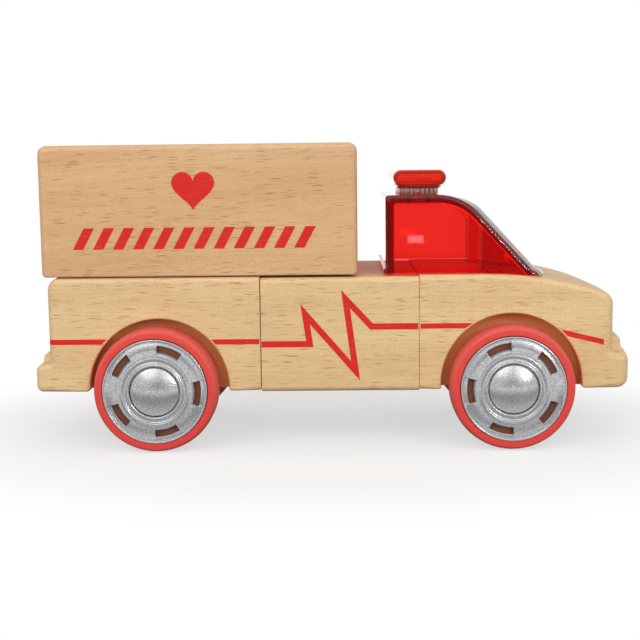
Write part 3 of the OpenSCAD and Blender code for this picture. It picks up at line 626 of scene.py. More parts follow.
# holes for the box's dowels and the cab top's pegs, and the couplers' rooms: corner radius and depths
dowels = {"radius": 3.05, "depth": 5.5, "places": (-31.05, -56.05)}
pegs = {"radius": 2.05, "depth": 5.0, "x": 36.475, "places": (-15.5, 15.5)}
couplers = {"corner": 2.8, "socket": 8.75, "tongue": 10.0}


def roundBar(x, y, radius, low, high):
    # a circle carried straight upwards, for a round hole or peg
    return prismMesh(arcPoints((x, y), radius, 0, 360, 49)[:-1], 2, low, high)


def slab(low, high):
    # a plain block from corner to corner
    plan = np.array([[low[0], low[1]], [high[0], low[1]], [high[0], high[1]], [low[0], high[1]]])
    return prismMesh(plan, 2, low[2], high[2])


def couplerRoom(node, x0, x1):
    # the room for a coupler: a round-cornered outline in Y and Z carried along X
    low, high = nodeBox(node)
    r = couplers["corner"]
    outline = np.vstack([arcPoints(centre, r, start, start + 90, 7)
                         for centre, start in roundCorners(low[1:], high[1:], r, -90)])
    return prismMesh(outline, 0, x0, x1)


def carrierGroove(node):
    # the room for an axle carrier, open to the pockets and the foot
    low, high = nodeBox(node)
    end = pocketFloor + blocks["groove"]
    return slab((low[0], -end, 0), (high[0], end, high[2]))


rearMesh = combine(carriedBlock(rearOutline(), half, pocketFloor, rearBend), [
    *(roundBar(x, 0, dowels["radius"], blockTop - dowels["depth"], blockTop + overrun)
      for x in dowels["places"]),
    couplerRoom("rear_coupler_socket", rearHigh[0] - couplers["socket"], rearHigh[0] + overrun),
    carrierGroove("rear_axle_carrier"),
], "DIFFERENCE")
markArch(rearMesh, rearArch)
addPiece("rearBlock", rearMesh, "rear_body", beech, ["rear_block"], even=True)

midOutline = joinOutline([*seamStretches(midHigh[0] + blocks["close"], 1, midLow[2], midHigh[2]),
                          *seamStretches(midLow[0], -1, midLow[2], midHigh[2])])
midMesh = combine(carriedBlock(midOutline, half, pocketFloor), [
    couplerRoom("rear_coupler", midLow[0] - overrun, midLow[0] + couplers["tongue"]),
    couplerRoom("front_coupler", midHigh[0] - couplers["tongue"], midHigh[0] + overrun),
], "DIFFERENCE")
addPiece("midBlock", midMesh, "mid_body", beech, ["mid_block"], even=True)

frontMesh = combine(carriedBlock(frontOutline(), half, pocketFloor, frontBend), [
    *(roundBar(pegs["x"], y, pegs["radius"], blockTop - pegs["depth"], blockTop + overrun)
      for y in pegs["places"]),
    couplerRoom("front_coupler_socket", frontLow[0] - overrun, frontLow[0] + couplers["socket"]),
    carrierGroove("front_axle_carrier"),
], "DIFFERENCE")
markArch(frontMesh, frontArch)
addPiece("frontBlock", frontMesh, "front_body", beech, ["front_block"], even=True)

# radii of the upper edges, upper corners, lower corners and lower edges, and the dark line's height
cargo = {"edge": 1.3, "top": 2.0, "end": 1.1, "foot": 0.4, "line": 0.22}
edge, top, end, low = cargo["edge"], cargo["top"], cargo["end"], cargo["foot"]
endZ = boxLow[2] + cargo["line"] + end
boxOutline = joinOutline([
    cornerStretch((boxHigh[0] - end, endZ), end, -90, 0, edge, low),
    cornerStretch((boxHigh[0] - top, boxHigh[2] - top), top, 0, 90, edge, edge),
    cornerStretch((boxLow[0] + top, boxHigh[2] - top), top, 90, 180, edge, edge),
    cornerStretch((boxLow[0] + end, endZ), end, 180, 270, edge, low),
])
addPiece("cargoBox", carriedBlock(boxOutline, half, pocketFloor), "box", boxBeech, ["cargo_box"],
         even=True)
print("wooden blocks made")


# Printed stripes, pulse line, heart and bars

prints = {
    "thick": 0.03,          # how far the ink stands on the wood
    "sunk": 0.05,           # how far it reaches into it
    "stripe": 1.2,          # width of the stripes
    "pulse": 1.42,          # width of the pulse line
    "rearZ": 24.75,
    "rearStep": 0.2,        # how much lower the rear stripe goes on ahead of the wheel
    "wrap": (-4.0, 62.0),   # from where to where it bends round the tail's corner, in degrees
    "archMargin": 0.5,      # bare wood between a stripe and the arch
    "seamMargin": 0.1,      # bare wood between a stripe and a seam
    "pulseLine": [(-16.2, 23.9), (-5.3, 23.9), (-6.3, 30.7), (4.95, 17.7), (2.8, 34.0),
                  (8.6, 27.75), (19.1, 27.75)],
    "frontZ": 27.75,
    "noseStripe": [(50.5, 26.25), (60.55, 23.8)],
    "heart": {"x": -30.8, "z": 58.3, "size": 9.6},
    "bars": {"x0": -58.0, "x1": -3.6, "z0": 45.6, "z1": 50.4, "count": 12, "share": 0.52, "lean": 2.6},
}


def strokeOutline(points, width):
    # both sides of a line with pointed corners: at a corner the offset is
    # half the width times the sum of the two normals over one plus their product
    points = np.asarray(points, float)
    ahead = np.diff(points, axis=0)
    ahead /= np.linalg.norm(ahead, axis=1, keepdims=True)
    normal = np.column_stack([-ahead[:, 1], ahead[:, 0]])
    before, after = np.vstack([normal[:1], normal]), np.vstack([normal, normal[-1:]])
    offset = (before + after) / (1 + np.sum(before * after, axis=1, keepdims=True)) * width / 2
    return np.vstack([points + offset, (points - offset)[::-1]])


def stripeOutline(start, end, middle, side):
    # a straight stripe cut upright at one end. The other end follows the arch round the middle, the start
    # where side is 1 and the end where it is -1: there the edge lines meet a circle.
    start, end = np.array(start, float), np.array(end, float)
    ahead = (end - start) / np.linalg.norm(end - start)
    rows = start + np.linspace(-0.5, 0.5, 5)[:, None] * prints["stripe"] * np.array([-ahead[1], ahead[0]])
    ways = [(start[0] - rows[:, 0]) / ahead[0], (end[0] - rows[:, 0]) / ahead[0]]
    fromMiddle = rows - middle
    along = fromMiddle @ ahead
    reach = archRadius + prints["archMargin"]
    meet = side * np.sqrt(along ** 2 - np.sum(fromMiddle ** 2, axis=1) + reach ** 2) - along
    ways[0 if side > 0 else 1] = meet
    first, last = (rows + way[:, None] * ahead for way in ways)
    return np.vstack([first, last[::-1]])


def heartOutline(x, z, size):
    # the usual heart curve, 32 units wide: 16 sin cubed across, and 13 cos t - 5 cos 2t - 2 cos 3t - cos 4t
    # upwards, lifted so that its middle is at z
    t = np.linspace(0, 2 * np.pi, 97)[:-1]
    across = 16 * np.sin(t) ** 3
    upwards = 13 * np.cos(t) - 5 * np.cos(2 * t) - 2 * np.cos(3 * t) - np.cos(4 * t)
    return np.column_stack([x + across * size / 32, z + (upwards + 2.5) * size / 32])


def leaningBars(x0, x1, z0, z1, count, share, lean):
    # a row of even bars that lean forwards
    pitch = (x1 - x0 - lean) / (count - 1 + share)
    starts = x0 + pitch * np.arange(count)
    wide = pitch * share
    corners = np.array([[0, z0], [wide, z0], [wide + lean, z1], [lean, z1]])
    return corners + np.column_stack([starts, np.zeros(count)])[:, None, :]


def wrappedEnd(z, width):
    # the end of the rear stripe, which bends round the tail's upright corner: with t from 0 at the side,
    # x = tail + r * (1 - sin t) and y = half - r * (1 - cos t), bowed like the tail. Each of its ten
    # rows has four points: ink and wood side, above and below.
    t = np.radians(np.linspace(*prints["wrap"], 10))[:, None]
    r = blocks["corner"] + np.repeat([prints["thick"], -prints["sunk"]], 2)
    x = tailX + blocks["corner"] - r * np.sin(t)
    y = half - blocks["corner"] + r * np.cos(t)
    heights = z + width / 2 * np.array([1, -1, -1, 1]) + 0 * x
    return rearBend(np.stack([x, y, heights], -1))


def printedPiece(name, outlines, body, ends=()):
    # each outline as a thin flat solid on both sides of the toy, and each bent end
    layers = (half - prints["sunk"], half + prints["thick"])
    solids = [np.stack([np.insert(outline, 1, y, axis=1) for y in layers]) for outline in outlines]
    points, faces, first = [], [], 0
    for side in (-1, 1):
        for solid in [*solids, *ends]:
            rows, columns = solid.shape[:2]
            points.append((solid * [1, side, 1]).reshape(-1, 3))
            faces += loftFaces(first + np.arange(rows * columns).reshape(rows, columns))
            first += rows * columns
    addPiece(name, solidMesh(np.vstack(points), faces), body, redInk)


cornerX = tailX + blocks["corner"] + blocks["rearCrown"]
rearZ, frontZ, margin = prints["rearZ"], prints["frontZ"], prints["seamMargin"]
aheadZ = rearZ - prints["rearStep"]
printedPiece("rearStripe", [
    stripeOutline((cornerX, rearZ), (rearAxleX, rearZ), rearArch, -1),
    stripeOutline((rearAxleX, aheadZ), (rearHigh[0] - margin, aheadZ), rearArch, 1),
], "rear_body", [wrappedEnd(rearZ, prints["stripe"])])
printedPiece("pulseLine", [strokeOutline(prints["pulseLine"], prints["pulse"])], "mid_body")
printedPiece("frontStripe", [
    stripeOutline((frontLow[0] + margin, frontZ), (frontAxleX, frontZ), frontArch, -1),
    stripeOutline(*prints["noseStripe"], frontArch, 1),
], "front_body")
printedPiece("boxPrint", [heartOutline(**prints["heart"]), *leaningBars(**prints["bars"])], "box")
print("prints made")


# Wheels

tyre = {"out": 27.0, "in": 18.9, "side": 13.1, "shoulder": 2.8, "bore": 10.7, "seat": 11.85,
        "seatY": 26.2, "lip": 0.15, "treadFade": (0.05, 0.45), "columns": 160}
cap = {
    # radius and distance from the toy's middle plane, from the seat under the centre cap to the rim
    "profile": [(3.0, 26.5), (5.6, 26.5), (5.67, 26.62), (5.71, 27.1), (5.77, 27.35), (5.9, 27.48),
                (6.05, 27.5), (6.2, 27.42), (6.35, 27.22), (6.55, 27.02), (6.8, 26.95), (7.0, 27.0),
                (7.15, 27.14), (7.25, 27.3), (7.38, 27.38), (7.55, 27.36), (7.75, 27.27), (8.1, 27.26),
                (8.45, 27.28)],
    "ring": [(8.95, 27.3), (9.4, 27.31), (10.0, 27.25), (10.5, 27.13), (11.0, 26.98), (11.25, 26.93)],
    "rim": [(11.32, 26.95), (11.38, 27.14), (11.48, 27.2), (11.62, 27.2), (11.72, 27.14), (11.75, 26.7)],
    "slotR": (8.95, 10.35), "slotHalf": 15.5, "slotEdge": 0.9, "slots": 5,
    # depth of the trays at the slots, and how they begin at the slots and end at the rim
    "tray": 0.55, "trayStart": (-0.25, 0.01), "trayEnd": (-0.1, 0.07),
    "wall": 0.3, "soft": 0.05, "sharp": 40,
    "turn": {"rear": -2.4, "front": 38.0},       # how far each pair is turned at rest, in degrees
}
core = {"face": 26.0, "faceR": (7.2, 10.6), "slope": 0.4, "hub": 25.5, "in": 18.8, "columns": 96}
dome = {"top": 28.55, "ball": 12.0, "ballR": 5.2, "edge": 0.6, "foot": 26.55, "columns": 96}


def turnedMesh(profile, axleX, side, columns, closed):
    # a profile of radius and distance from the middle plane, turned round the axle
    angle = np.linspace(0, 2 * np.pi, columns, endpoint=False)
    radius, out = profile.T[:, :, None]
    x = axleX + radius * np.cos(angle)
    z = axleZ + radius * np.sin(angle)
    points = np.stack([x, side * out + 0 * x, z], -1)
    index = np.arange(len(profile) * columns).reshape(len(profile), columns)
    return solidMesh(points.reshape(-1, 3), gridQuads(index, loopRows=closed, loopColumns=True).tolist())


def tyreProfile():
    # bore, seat for the hubcap, flat side, a quarter ellipse to the tread, and the same inside
    t = np.radians(np.linspace(0, 90, 13))
    rise = axleZ - tyre["side"]
    outer = np.column_stack([tyre["side"] + rise * np.sin(t),
                             tyre["out"] - tyre["shoulder"] * (1 - np.cos(t))])
    inner = np.column_stack([outer[::-1, 0], tyre["in"] + tyre["out"] - outer[::-1, 1]])
    start = np.array([[tyre["bore"], tyre["in"]], [tyre["bore"], tyre["seatY"]],
                      [tyre["seat"], tyre["seatY"]], [tyre["seat"], tyre["out"] - tyre["lip"]],
                      [tyre["seat"] + tyre["lip"], tyre["out"]]])
    return np.vstack([start, outer, inner])


def markTread(mesh, axleX):
    # 1 on the tread, 0 on the side walls, by how far a point lies from the axle
    places = np.zeros(len(mesh.vertices) * 3)
    mesh.vertices.foreach_get("co", places)
    x, _, z = places.reshape(-1, 3).T / mm
    start, end = tyre["treadFade"]
    share = smooth(np.hypot(x - axleX, z - axleZ), tyre["side"] + start, tyre["side"] + end)
    mesh.attributes.new("tread", "FLOAT", "POINT").data.foreach_set("value", share)


def hubcapSurface(axleX, side, turn):
    # distance from the middle plane over radius: seat, stepped bead, crowned ring and rim, on a
    # polar grid. The slots' cells are left out, and a tray is pressed into the ring from each slot
    # out to the rim.
    slotIn, slotOut = cap["slotR"]
    ringIn, ringOut = np.array(cap["ring"]).T
    ringR = np.concatenate([np.linspace(slotIn, slotOut, 7), np.linspace(slotOut, ringIn[-1], 8)[1:]])
    ring = np.column_stack([ringR, np.interp(ringR, ringIn, ringOut)])
    radius, out = np.vstack([cap["profile"], ring, cap["rim"]]).T[:, :, None]
    h, edge = cap["slotHalf"], cap["slotEdge"]
    pitch = 360 / cap["slots"]
    sector = np.concatenate([np.linspace(-pitch / 2, -h - edge, 9), np.linspace(-h - edge, -h, 4)[1:],
                             np.linspace(-h, h, 19)[1:], np.linspace(h, h + edge, 4)[1:],
                             np.linspace(h + edge, pitch / 2, 9)[1:-1]])
    starts = turn + pitch * np.arange(cap["slots"])
    local = np.tile(sector, cap["slots"])
    angle = np.radians((starts[:, None] + sector).ravel())
    inTray = (1 - smooth(np.abs(local), h, h + edge)) * smooth(radius, *(slotIn + np.array(cap["trayStart"])))
    inTray = inTray * (1 - smooth(radius, *(ringIn[-1] + np.array(cap["trayEnd"]))))
    points = np.stack([axleX + radius * np.cos(angle), side * (out - cap["tray"] * inTray),
                       axleZ + radius * np.sin(angle)], -1)
    index = np.arange(points[..., 0].size).reshape(points.shape[:2])
    faces = gridQuads(index, loopColumns=True)
    cellR = np.repeat((radius[:-1, 0] + radius[1:, 0]) / 2, len(angle))
    ahead = np.append(local[1:], local[0])
    cellTurn = np.tile(np.where(ahead > local, (local + ahead) / 2, pitch / 2), len(radius) - 1)
    hole = (cellR > slotIn) & (cellR < slotOut) & (np.abs(cellTurn) < h)
    faces = faces[~hole]
    faces = faces if side < 0 else faces[:, ::-1]
    surface = bpy.data.meshes.new("surface")
    surface.from_pydata((points.reshape(-1, 3) * mm).tolist(), [], faces.tolist())
    return surface


def coreProfile():
    # the wheel's hub: a disc whose raised ring shows through the hubcap's slots
    inner, outer = core["faceR"]
    return np.array([[axleRadius, core["in"]], [outer, core["in"]], [outer, core["face"]],
                     [inner, core["face"]], [inner - core["slope"], core["hub"]], [axleRadius, core["hub"]]])


def domeProfile():
    # a ball's cap: radius = ball * sin t, drop = ball * (1 - cos t), then a rounded edge that goes on
    # from the ball's slope to upright, and a short side down to the seat
    end = math.asin(dome["ballR"] / dome["ball"])
    t = np.linspace(0.0, end, 18)
    skin = np.column_stack([dome["ball"] * np.sin(t), dome["top"] - dome["ball"] * (1 - np.cos(t))])
    u = np.linspace(end, np.pi / 2, 9)[1:]
    edge = skin[-1] + dome["edge"] * np.column_stack([np.sin(u) - np.sin(end), np.cos(u) - np.cos(end)])
    foot = np.array([[edge[-1, 0], dome["foot"]], [0.0, dome["foot"]]])
    return np.vstack([skin, edge, foot])


for end, axleX in (("rear", rearAxleX), ("front", frontAxleX)):
    for hand, side in (("right", -1), ("left", 1)):
        label = end + hand.capitalize()
        node = end + "_" + hand
        body = end + "_wheels"
        tyreMesh = turnedMesh(tyreProfile(), axleX, side, tyre["columns"], True)
        markTread(tyreMesh, axleX)
        addPiece(label + "Tyre", tyreMesh, body, tyreRubber, [node + "_tyre"], sharp=45)
        coreMesh = turnedMesh(coreProfile(), axleX, side, core["columns"], True)
        addPiece(label + "WheelCore", coreMesh, body, brownAbsSlotShade, [node + "_wheel_core"])
        hubcap = addPiece(label + "Hubcap", hubcapSurface(axleX, side, cap["turn"][end]), body,
                          platedAbs, [node + "_hubcap"], cap["sharp"])
        wall = hubcap.modifiers.new("wall", "SOLIDIFY")
        wall.thickness, wall.offset = cap["wall"] * mm, -1
        soft = hubcap.modifiers.new("softEdges", "BEVEL")
        soft.width, soft.segments, soft.limit_method = cap["soft"] * mm, 2, "ANGLE"
        soft.angle_limit = math.radians(cap["sharp"])
        domeMesh = turnedMesh(domeProfile(), axleX, side, dome["columns"], False)
        addPiece(label + "CentreCap", domeMesh, body, platedAbs,
                 [node + "_centre_cap"], cap["sharp"])
print("wheels made")


# Cab top and light bar

barX = 19.95             # middle of the light bar, its plug and the plug's hole
canopy = {
    "back": 11.9, "top": 56.9, "half": 21.0, "wall": 1.65, "roof": 11.6, "roofRadius": 12.0,
    "slope": 47.0, "bulge": 2.8, "edge": 0.9, "backEdge": 0.8, "foot": 36.6, "gap": 0.3,
    # how high and how far out each step of the foot flange stands, which together look rounded
    "flange": [(0.8, 0.45), (1.0, 0.33), (1.12, 0.15)],
    # back face and inner face of the cheeks, and the thin slit between them and the windscreen
    "cheek": (33.65, 10.0, 0.2), "cheekTop": 70.0,
    "pegRadius": 2.0, "pegFoot": 34.7, "pegRise": 0.8,
    # radius of the hole for the light bar's plug, and how far its cut reaches below and above the roof
    "plugHole": 2.75, "plugCut": (4.0, 3.0),
    # how far below the foot the flange, the room inside and the cheeks' limit start, and how much wider
    # than the cab top the limit is
    "flangeDrop": 0.4, "roomDrop": 1.0, "limitDrop": 6.0, "limitSpread": 4.0,
    # where the solid under the cab top ends: on the hood's circle in degrees, and behind
    "hoodEnd": 66.0, "hoodBack": -10.0,
}
lens = {"low": 58.9, "high": 62.4, "wide": 12.0, "long": 29.0, "wall": 0.9, "edge": 0.5,
        "round": 0.98,          # share of half the height that its sides are rounded by
        # width and length of the room for the base's tab, and its reach below and above the lens's foot
        "tab": (6.0, 23.0), "tabReach": (1.0, 1.75)}


def canopyOutline(inset, low):
    # side line of the cab top drawn in by inset: back, small corner, roof, roof curve, windscreen.
    # The third column is the share of the windscreen's bulge.
    back, top = canopy["back"] + inset, canopy["top"] - inset
    r = canopy["backEdge"]
    slope = math.radians(canopy["slope"])
    turn = np.array([canopy["back"] + canopy["roof"], canopy["top"] - canopy["roofRadius"]])
    corner = arcPoints((back + r, top - r), r, 180, 90)
    roof = np.column_stack([np.linspace(back + r, turn[0], 8)[1:-1], np.full(6, top)])
    curve = arcPoints(turn, canopy["roofRadius"] - inset, 90, 90 - canopy["slope"], 25)
    share = np.sin(np.linspace(0, np.pi / 2, 25)) ** 2
    run = (curve[-1, 1] - low) / math.tan(slope)
    screen = np.linspace(curve[-1], curve[-1] + [run, low - curve[-1, 1]], 15)[1:]
    upright = np.column_stack([np.full(6, back), np.linspace(low, top - r, 7)[:-1]])
    line = np.vstack([upright, corner, roof, curve, screen])
    plain = np.zeros(len(upright) + len(corner) + len(roof))
    return np.column_stack([line, np.concatenate([plain, share, np.ones(len(screen))])])


def canopySolid(inset, edge, low, spread=0.0):
    # the side line carried across the width with round edges; the windscreen bulges by
    # bulge * (1 - (y / half) squared), and spread makes the whole wider
    wide = canopy["half"] - inset + spread
    t = np.radians(np.linspace(0, 90, 7))
    sideY, sideInset = wide - edge * (1 - np.cos(t)), edge * (1 - np.sin(t))
    middle = np.linspace(-wide + edge, wide - edge, 27)[1:-1]
    ys = np.concatenate([-sideY, middle, sideY[::-1]])
    draws = np.concatenate([sideInset, 0 * middle, sideInset[::-1]])
    lines = np.stack([canopyOutline(inset + draw, low) for draw in draws])
    y = np.repeat(ys[:, None], lines.shape[1], 1)
    x = lines[..., 0] + canopy["bulge"] * lines[..., 2] * (1 - (y / canopy["half"]) ** 2)
    return loftedMesh(np.stack([x, y, lines[..., 1]], -1))


def hoodSolid(raised):
    # everything below the flat top and the hood's circle, raised by that much
    radius, back = blocks["hoodRadius"] + raised, canopy["hoodBack"]
    hood = arcPoints((hoodX, blockTop - blocks["hoodRadius"]), radius, canopy["hoodEnd"], 90, 40)
    outline = np.vstack([hood, [[back, blockTop + raised], [back, blockFoot], [hood[0, 0], blockFoot]]])
    return prismMesh(outline, 1, -half - overrun, half + overrun)


foot, edge, wall = canopy["foot"], canopy["edge"], canopy["wall"]
shell = canopySolid(0, edge, foot)
flanges = [combine(canopySolid(-out, edge, foot - canopy["flangeDrop"]),
                   [hoodSolid(canopy["gap"] + high)], "INTERSECT") for high, out in canopy["flange"]]
cheekX, cheekY, slit = canopy["cheek"]
cheeks = [combine(slab((cheekX, side * canopy["half"], foot - overrun),
                       (noseX, side * cheekY, canopy["cheekTop"])),
                  [canopySolid(wall + slit, edge, foot - canopy["limitDrop"], canopy["limitSpread"])],
                  "INTERSECT") for side in (-1, 1)]
room = combine(canopySolid(wall, edge / 2, foot - canopy["roomDrop"]), cheeks, "DIFFERENCE")
shell = combine(shell, flanges, "UNION")
shell = combine(shell, [room, hoodSolid(canopy["gap"])], "DIFFERENCE")
shell = combine(shell, [roundBar(pegs["x"], y, canopy["pegRadius"], canopy["pegFoot"],
                                 blockTop + canopy["pegRise"]) for y in pegs["places"]], "UNION")
cutLow, cutHigh = canopy["plugCut"]
shell = combine(shell, [roundBar(barX, 0, canopy["plugHole"], canopy["top"] - cutLow,
                                 canopy["top"] + cutHigh)], "DIFFERENCE")
addPiece("cabTop", mergeFlat(shell), "cab_top", redPolycarbonate, ["canopy"],
         sharp=30, even=True)


def lensSolid(inset, edge):
    # a long bar with half-round sides, seen from its end as a pill
    low, high = lens["low"] + inset, lens["high"] - inset
    r = (high - low) / 2 * lens["round"]
    x0, x1 = barX - lens["wide"] / 2 + inset, barX + lens["wide"] / 2 - inset
    outline = joinOutline([cornerStretch(centre, r, start, start + 90, edge, edge, 10)
                           for centre, start in roundCorners((x0, low), (x1, high), r, -90)])
    return carriedBlock(outline, lens["long"] / 2 - inset, lens["long"] / 3)


tabWide, tabLong = lens["tab"]
tabLow, tabHigh = lens["tabReach"]
lensMesh = combine(lensSolid(0, lens["edge"]), [
    lensSolid(lens["wall"], lens["edge"] / 2),
    slab((barX - tabWide / 2, -tabLong / 2, lens["low"] - tabLow),
         (barX + tabWide / 2, tabLong / 2, lens["low"] + tabHigh)),
], "DIFFERENCE")
addPiece("lightBarLens", mergeFlat(lensMesh), "light_bar", redLensPolycarbonate,
         ["light_bar_lens"], sharp=30, even=True)
barBase = {
    # the plug's radius, foot and top, and how high its tip is and what share of the radius it has
    "plug": (2.65, 54.35, 56.95), "tip": (0.15, 0.94),
    "flutes": 66, "flute": 0.2, "columns": 528,
    # height, half width, half length, corner radius and whether the flutes show
    "levels": [(56.95, 4.3, 12.8, 1.8, 1), (57.05, 4.45, 12.95, 1.9, 1), (58.15, 4.45, 12.95, 1.9, 1),
               (58.3, 4.65, 13.15, 2.0, 0), (58.38, 4.95, 13.45, 2.2, 0), (58.5, 5.05, 13.55, 2.3, 0),
               (58.76, 5.05, 13.55, 2.3, 0), (58.86, 4.95, 13.45, 2.2, 0), (58.87, 2.9, 11.4, 1.0, 0),
               (60.5, 2.9, 11.4, 1.0, 0), (60.62, 2.8, 11.3, 1.0, 0)],
}


def roundedLoop(wide, long, corner, flute):
    # evenly spaced points on a rectangle with round corners, moved in and out by a cosine of the way
    # round, which gives the flutes
    line = np.vstack([arcPoints(centre, corner, start, start + 90, 13)
                      for centre, start in roundCorners((-wide, -long), (wide, long), corner, 0)])
    line = np.vstack([line, line[:1]])
    way = wayAlong(line)
    share = np.linspace(0, 1, barBase["columns"], endpoint=False)
    points = np.column_stack([np.interp(share * way[-1], way, column) for column in line.T])
    ahead = np.roll(points, -1, axis=0) - np.roll(points, 1, axis=0)
    outwards = np.column_stack([ahead[:, 1], -ahead[:, 0]]) / np.linalg.norm(ahead, axis=1, keepdims=True)
    wave = 0.5 * (np.cos(2 * np.pi * barBase["flutes"] * share) - 1)
    return points + outwards * (flute * wave)[:, None]


def barBaseSolid():
    # loops stacked from the plug's end up to the tab inside the lens
    levels = barBase["levels"]
    loops = [roundedLoop(wide, long, corner, barBase["flute"] * fluted)
             for _, wide, long, corner, fluted in levels]
    plugR, plugLow, plugHigh = barBase["plug"]
    tipHigh, tipShare = barBase["tip"]
    turn = np.arctan2(loops[0][:, 1] / levels[0][2], loops[0][:, 0] / levels[0][1])
    plug = plugR * np.column_stack([np.cos(turn), np.sin(turn)])
    heights = [plugLow, plugLow + tipHigh, plugHigh] + [level[0] for level in levels]
    loops = np.stack([plug * tipShare, plug, plug] + loops)
    z = np.repeat(np.array(heights)[:, None], loops.shape[1], 1)
    return loftedMesh(np.stack([barX + loops[..., 0], loops[..., 1], z], -1))


addPiece("lightBarBase", barBaseSolid(), "light_bar", clearPolycarbonate,
         ["light_bar_base"], sharp=35)
print("cab top and light bar made")


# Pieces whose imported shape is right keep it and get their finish

keptFinishes = {"_coupler": naturalNylon, "_coupler_socket": naturalNylon, "_axle_carrier": naturalNylon,
                "_axle": drawnSteel}
keptNodes = {end + name: material for end in ("rear", "front") for name, material in keptFinishes.items()}
keptNodes["box_dowels"] = beech
for node, material in keptNodes.items():
    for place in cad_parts[node].material_slots:
        place.material = material
print("kept nodes finished")


# Floor, light and camera

studio = {
    "floor": "#f4f4f2", "floorSize": 3.0, "floorDrop": 0.05,      # metres, and millimetres under the tyres
    "white": 0.6,           # how much plain white the camera sees in the floor at the toy
    # a reach in metres along and across the toy, and between which shares of it the rest turns white
    "whiteReach": (0.115, 0.08), "whiteFrom": 0.6, "whiteTo": 1.1,
    "underlight": "#747472",              # the floor's colour where it lights the toy from below
    # how bright the floor's mirror image is at places from the front to the back
    "mirroredFloor": [(-0.36, 0.1), (-0.22, 0.85), (-0.1, 0.85), (-0.062, 0.26), (-0.046, 0.28),
                      (-0.032, 0.6), (0.0, 0.6), (0.23, 1.25)],
    # the mirrored room: straight in front, all round, and low behind the toy, and where on the way from
    # front, -1, to back, 1, the first fades out and the last sets in
    "dark": 0.3, "walls": 0.64, "bright": 1.1, "darkFade": (-1.0, -0.93), "brightFade": (0.985, 0.998),
    # where two soft cards stand in the mirrored room, how bright they are, and between which cosines of
    # the angle to their middle they set in
    "cards": [((-0.33, -0.69, 0.64), 1.5), ((0.48, -0.69, 0.54), 1.3)], "cardReach": (0.86, 0.97),
    "ambient": 0.42,
    # place and size in metres, power, and whether the lamp itself shows in mirrors
    "lamps": {
        "left": ((-0.5, -0.78, 0.48), (1.0, 0.8), 5.9, False),
        "right": ((0.48, -0.78, 0.48), (0.9, 0.8), 3.9, False),
        "side": ((0.78, -0.22, 0.5), (0.25, 0.25), 0.2, True),
        "top": ((-0.02, -0.2, 0.9), (0.4, 0.3), 0.15, True),
        "back": ((0.1, 0.8, 0.55), (0.5, 0.5), 0.8, False),
        "strip": ((0.564, -0.78, 0.33), (0.12, 0.12), 0.9, True),
        "window": ((0.047, -0.5, 0.016), (0.010, 0.0045), 0.0004, True),
    },
    "aim": (0, 0, 0.03),    # what the lamps point at
}
white = (1, 1, 1, 1)


def seenPlainly(tree):
    # the light's path, and 1 for what the camera sees by itself or through glass
    path = addNode(tree, "LightPath")
    return path, addNode(tree, "Math", larger, socket0=path.outputs["Is Camera Ray"],
                         socket1=path.outputs["Is Transmission Ray"])


def whiteFloor():
    # a matt white sweep: it keeps the toy's shadow and fades to plain white for the camera and through
    # glass. It lights the toy as a greyer table would, and its mirror image is dark around the toy.
    material, tree, place = startMaterial("whiteSweep")
    wide, deep = studio["whiteReach"]
    scaled = addNode(tree, "VectorMath", multiply, socket0=place, socket1=(1 / wide, 1 / deep, 0))
    away = addNode(tree, "VectorMath", {"operation": "LENGTH"}, socket0=scaled)
    fade = addNode(tree, "MapRange", sCurve, Value=away, From_Min=studio["whiteFrom"],
                   From_Max=studio["whiteTo"], To_Min=studio["white"])
    path, seen = seenPlainly(tree)
    share = addNode(tree, "Math", multiply, socket0=fade, socket1=seen)
    paint = addNode(tree, "Mix", colourMix, socket0=path.outputs["Is Diffuse Ray"],
                    socket6=linear(studio["floor"]), socket7=linear(studio["underlight"]))
    matt = addNode(tree, "BsdfDiffuse", Color=paint)
    plain = addNode(tree, "Emission", Color=white, Strength=1.0)
    shown = addNode(tree, "MixShader", socket0=share, socket1=matt, socket2=plain)
    depth = addNode(tree, "SeparateXYZ", Vector=place).outputs["Y"]
    stops = studio["mirroredFloor"]
    grey = stops[0][1]
    for (start, level), (end, nextLevel) in zip(stops, stops[1:]):
        change = addNode(tree, "MapRange", Value=depth, From_Min=start, From_Max=end,
                         To_Max=nextLevel - level)
        grey = addNode(tree, "Math", {"operation": "ADD"}, socket0=grey, socket1=change)
    mirrored = addNode(tree, "Emission", Color=white, Strength=grey)
    notSeen = addNode(tree, "Math", {"operation": "SUBTRACT"}, socket0=path.outputs["Is Glossy Ray"],
                      socket1=seen)
    both = addNode(tree, "MixShader", socket0=notSeen, socket1=shown, socket2=mirrored)
    addNode(tree, "OutputMaterial", Surface=both)
    return material


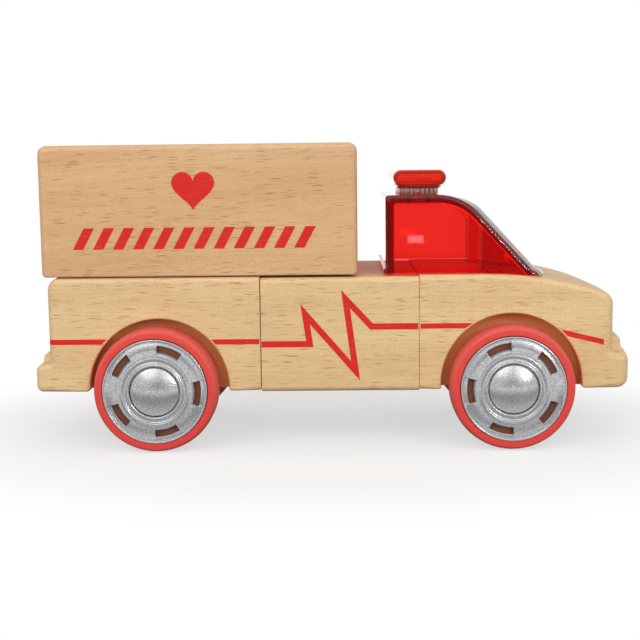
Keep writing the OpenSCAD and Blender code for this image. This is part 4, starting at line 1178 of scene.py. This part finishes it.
def whiteRoom():
    # plain white to the camera and through glass, softer as light. In reflections it is grey all round
    # and overhead, darker straight in front of the toy and white low behind it, and has two soft white
    # cards.
    room = bpy.data.worlds.new("whiteRoom")
    room.use_nodes = True
    tree = room.node_tree
    tree.nodes.clear()
    path, seen = seenPlainly(tree)
    around = addNode(tree, "TexCoord").outputs["Generated"]
    facing = addNode(tree, "SeparateXYZ", Vector=around).outputs["Y"]
    start, end = studio["darkFade"]
    mirrored = addNode(tree, "MapRange", sCurve, Value=facing, From_Min=start, From_Max=end,
                       To_Min=studio["dark"], To_Max=studio["walls"])
    lights = [(facing, studio["brightFade"], studio["bright"])]
    for direction, level in studio["cards"]:
        towards = addNode(tree, "VectorMath", {"operation": "DOT_PRODUCT"}, socket0=around, socket1=direction)
        lights.append((towards, studio["cardReach"], level))
    for towards, (start, end), level in lights:
        patch = addNode(tree, "MapRange", sCurve, Value=towards, From_Min=start, From_Max=end, To_Max=level)
        mirrored = addNode(tree, "Math", larger, socket0=mirrored, socket1=patch)
    soft = addNode(tree, "Mix", socket0=path.outputs["Is Glossy Ray"], socket2=studio["ambient"],
                   socket3=mirrored)
    strength = addNode(tree, "Mix", socket0=seen, socket2=soft, socket3=1.0)
    addNode(tree, "OutputWorld", Surface=addNode(tree, "Background", Color=white, Strength=strength))
    return room


size = studio["floorSize"]
floorMesh = bpy.data.meshes.new("floor")
floorMesh.from_pydata([(-size, -size, 0), (size, -size, 0), (size, size, 0), (-size, size, 0)], [],
                      [(0, 1, 2, 3)])
floorMesh.materials.append(whiteFloor())
floor = bpy.data.objects.new("floor", floorMesh)
floor.location.z = -studio["floorDrop"] * mm
scene.collection.objects.link(floor)
scene.world = whiteRoom()

for name, (place, size, power, mirrored) in studio["lamps"].items():
    lamp = bpy.data.lights.new(name + "Softbox", "AREA")
    lamp.shape, (lamp.size, lamp.size_y), lamp.energy = "RECTANGLE", size, power
    softbox = bpy.data.objects.new(name + "Softbox", lamp)
    softbox.location = place
    aim = Vector(studio["aim"]) - softbox.location
    softbox.rotation_euler = aim.to_track_quat("-Z", "Y").to_euler()
    softbox.visible_camera = False
    softbox.visible_glossy = mirrored
    scene.collection.objects.link(softbox)

# place in millimetres, turns in degrees, and focal length for a sensor of this width
view = {"place": (2.53, -287.5, 64.34), "yaw": 1.188, "pitch": 7.538, "roll": -0.672, "lens": 66.94,
        "sensor": 36.0}


def cameraMatrix():
    # forwards from yaw and pitch, then right and up turned by the roll
    yaw, pitch, roll = (math.radians(view[name]) for name in ("yaw", "pitch", "roll"))
    level = Vector((-math.sin(yaw), math.cos(yaw), 0))
    across = Vector((math.cos(yaw), math.sin(yaw), 0))
    forwards = level * math.cos(pitch) - Vector((0, 0, math.sin(pitch)))
    upwards = level * math.sin(pitch) + Vector((0, 0, math.cos(pitch)))
    right = across * math.cos(roll) + upwards * math.sin(roll)
    top = upwards * math.cos(roll) - across * math.sin(roll)
    turned = Matrix((right, top, -forwards)).transposed().to_4x4()
    turned.translation = Vector(view["place"]) * mm
    return turned


camera = bpy.data.objects.new("camera", bpy.data.cameras.new("camera"))
camera.data.sensor_width, camera.data.lens = view["sensor"], view["lens"]
camera.data.clip_start = mm
camera.matrix_world = cameraMatrix()
scene.collection.objects.link(camera)
scene.camera = camera
print("floor, light and camera set")
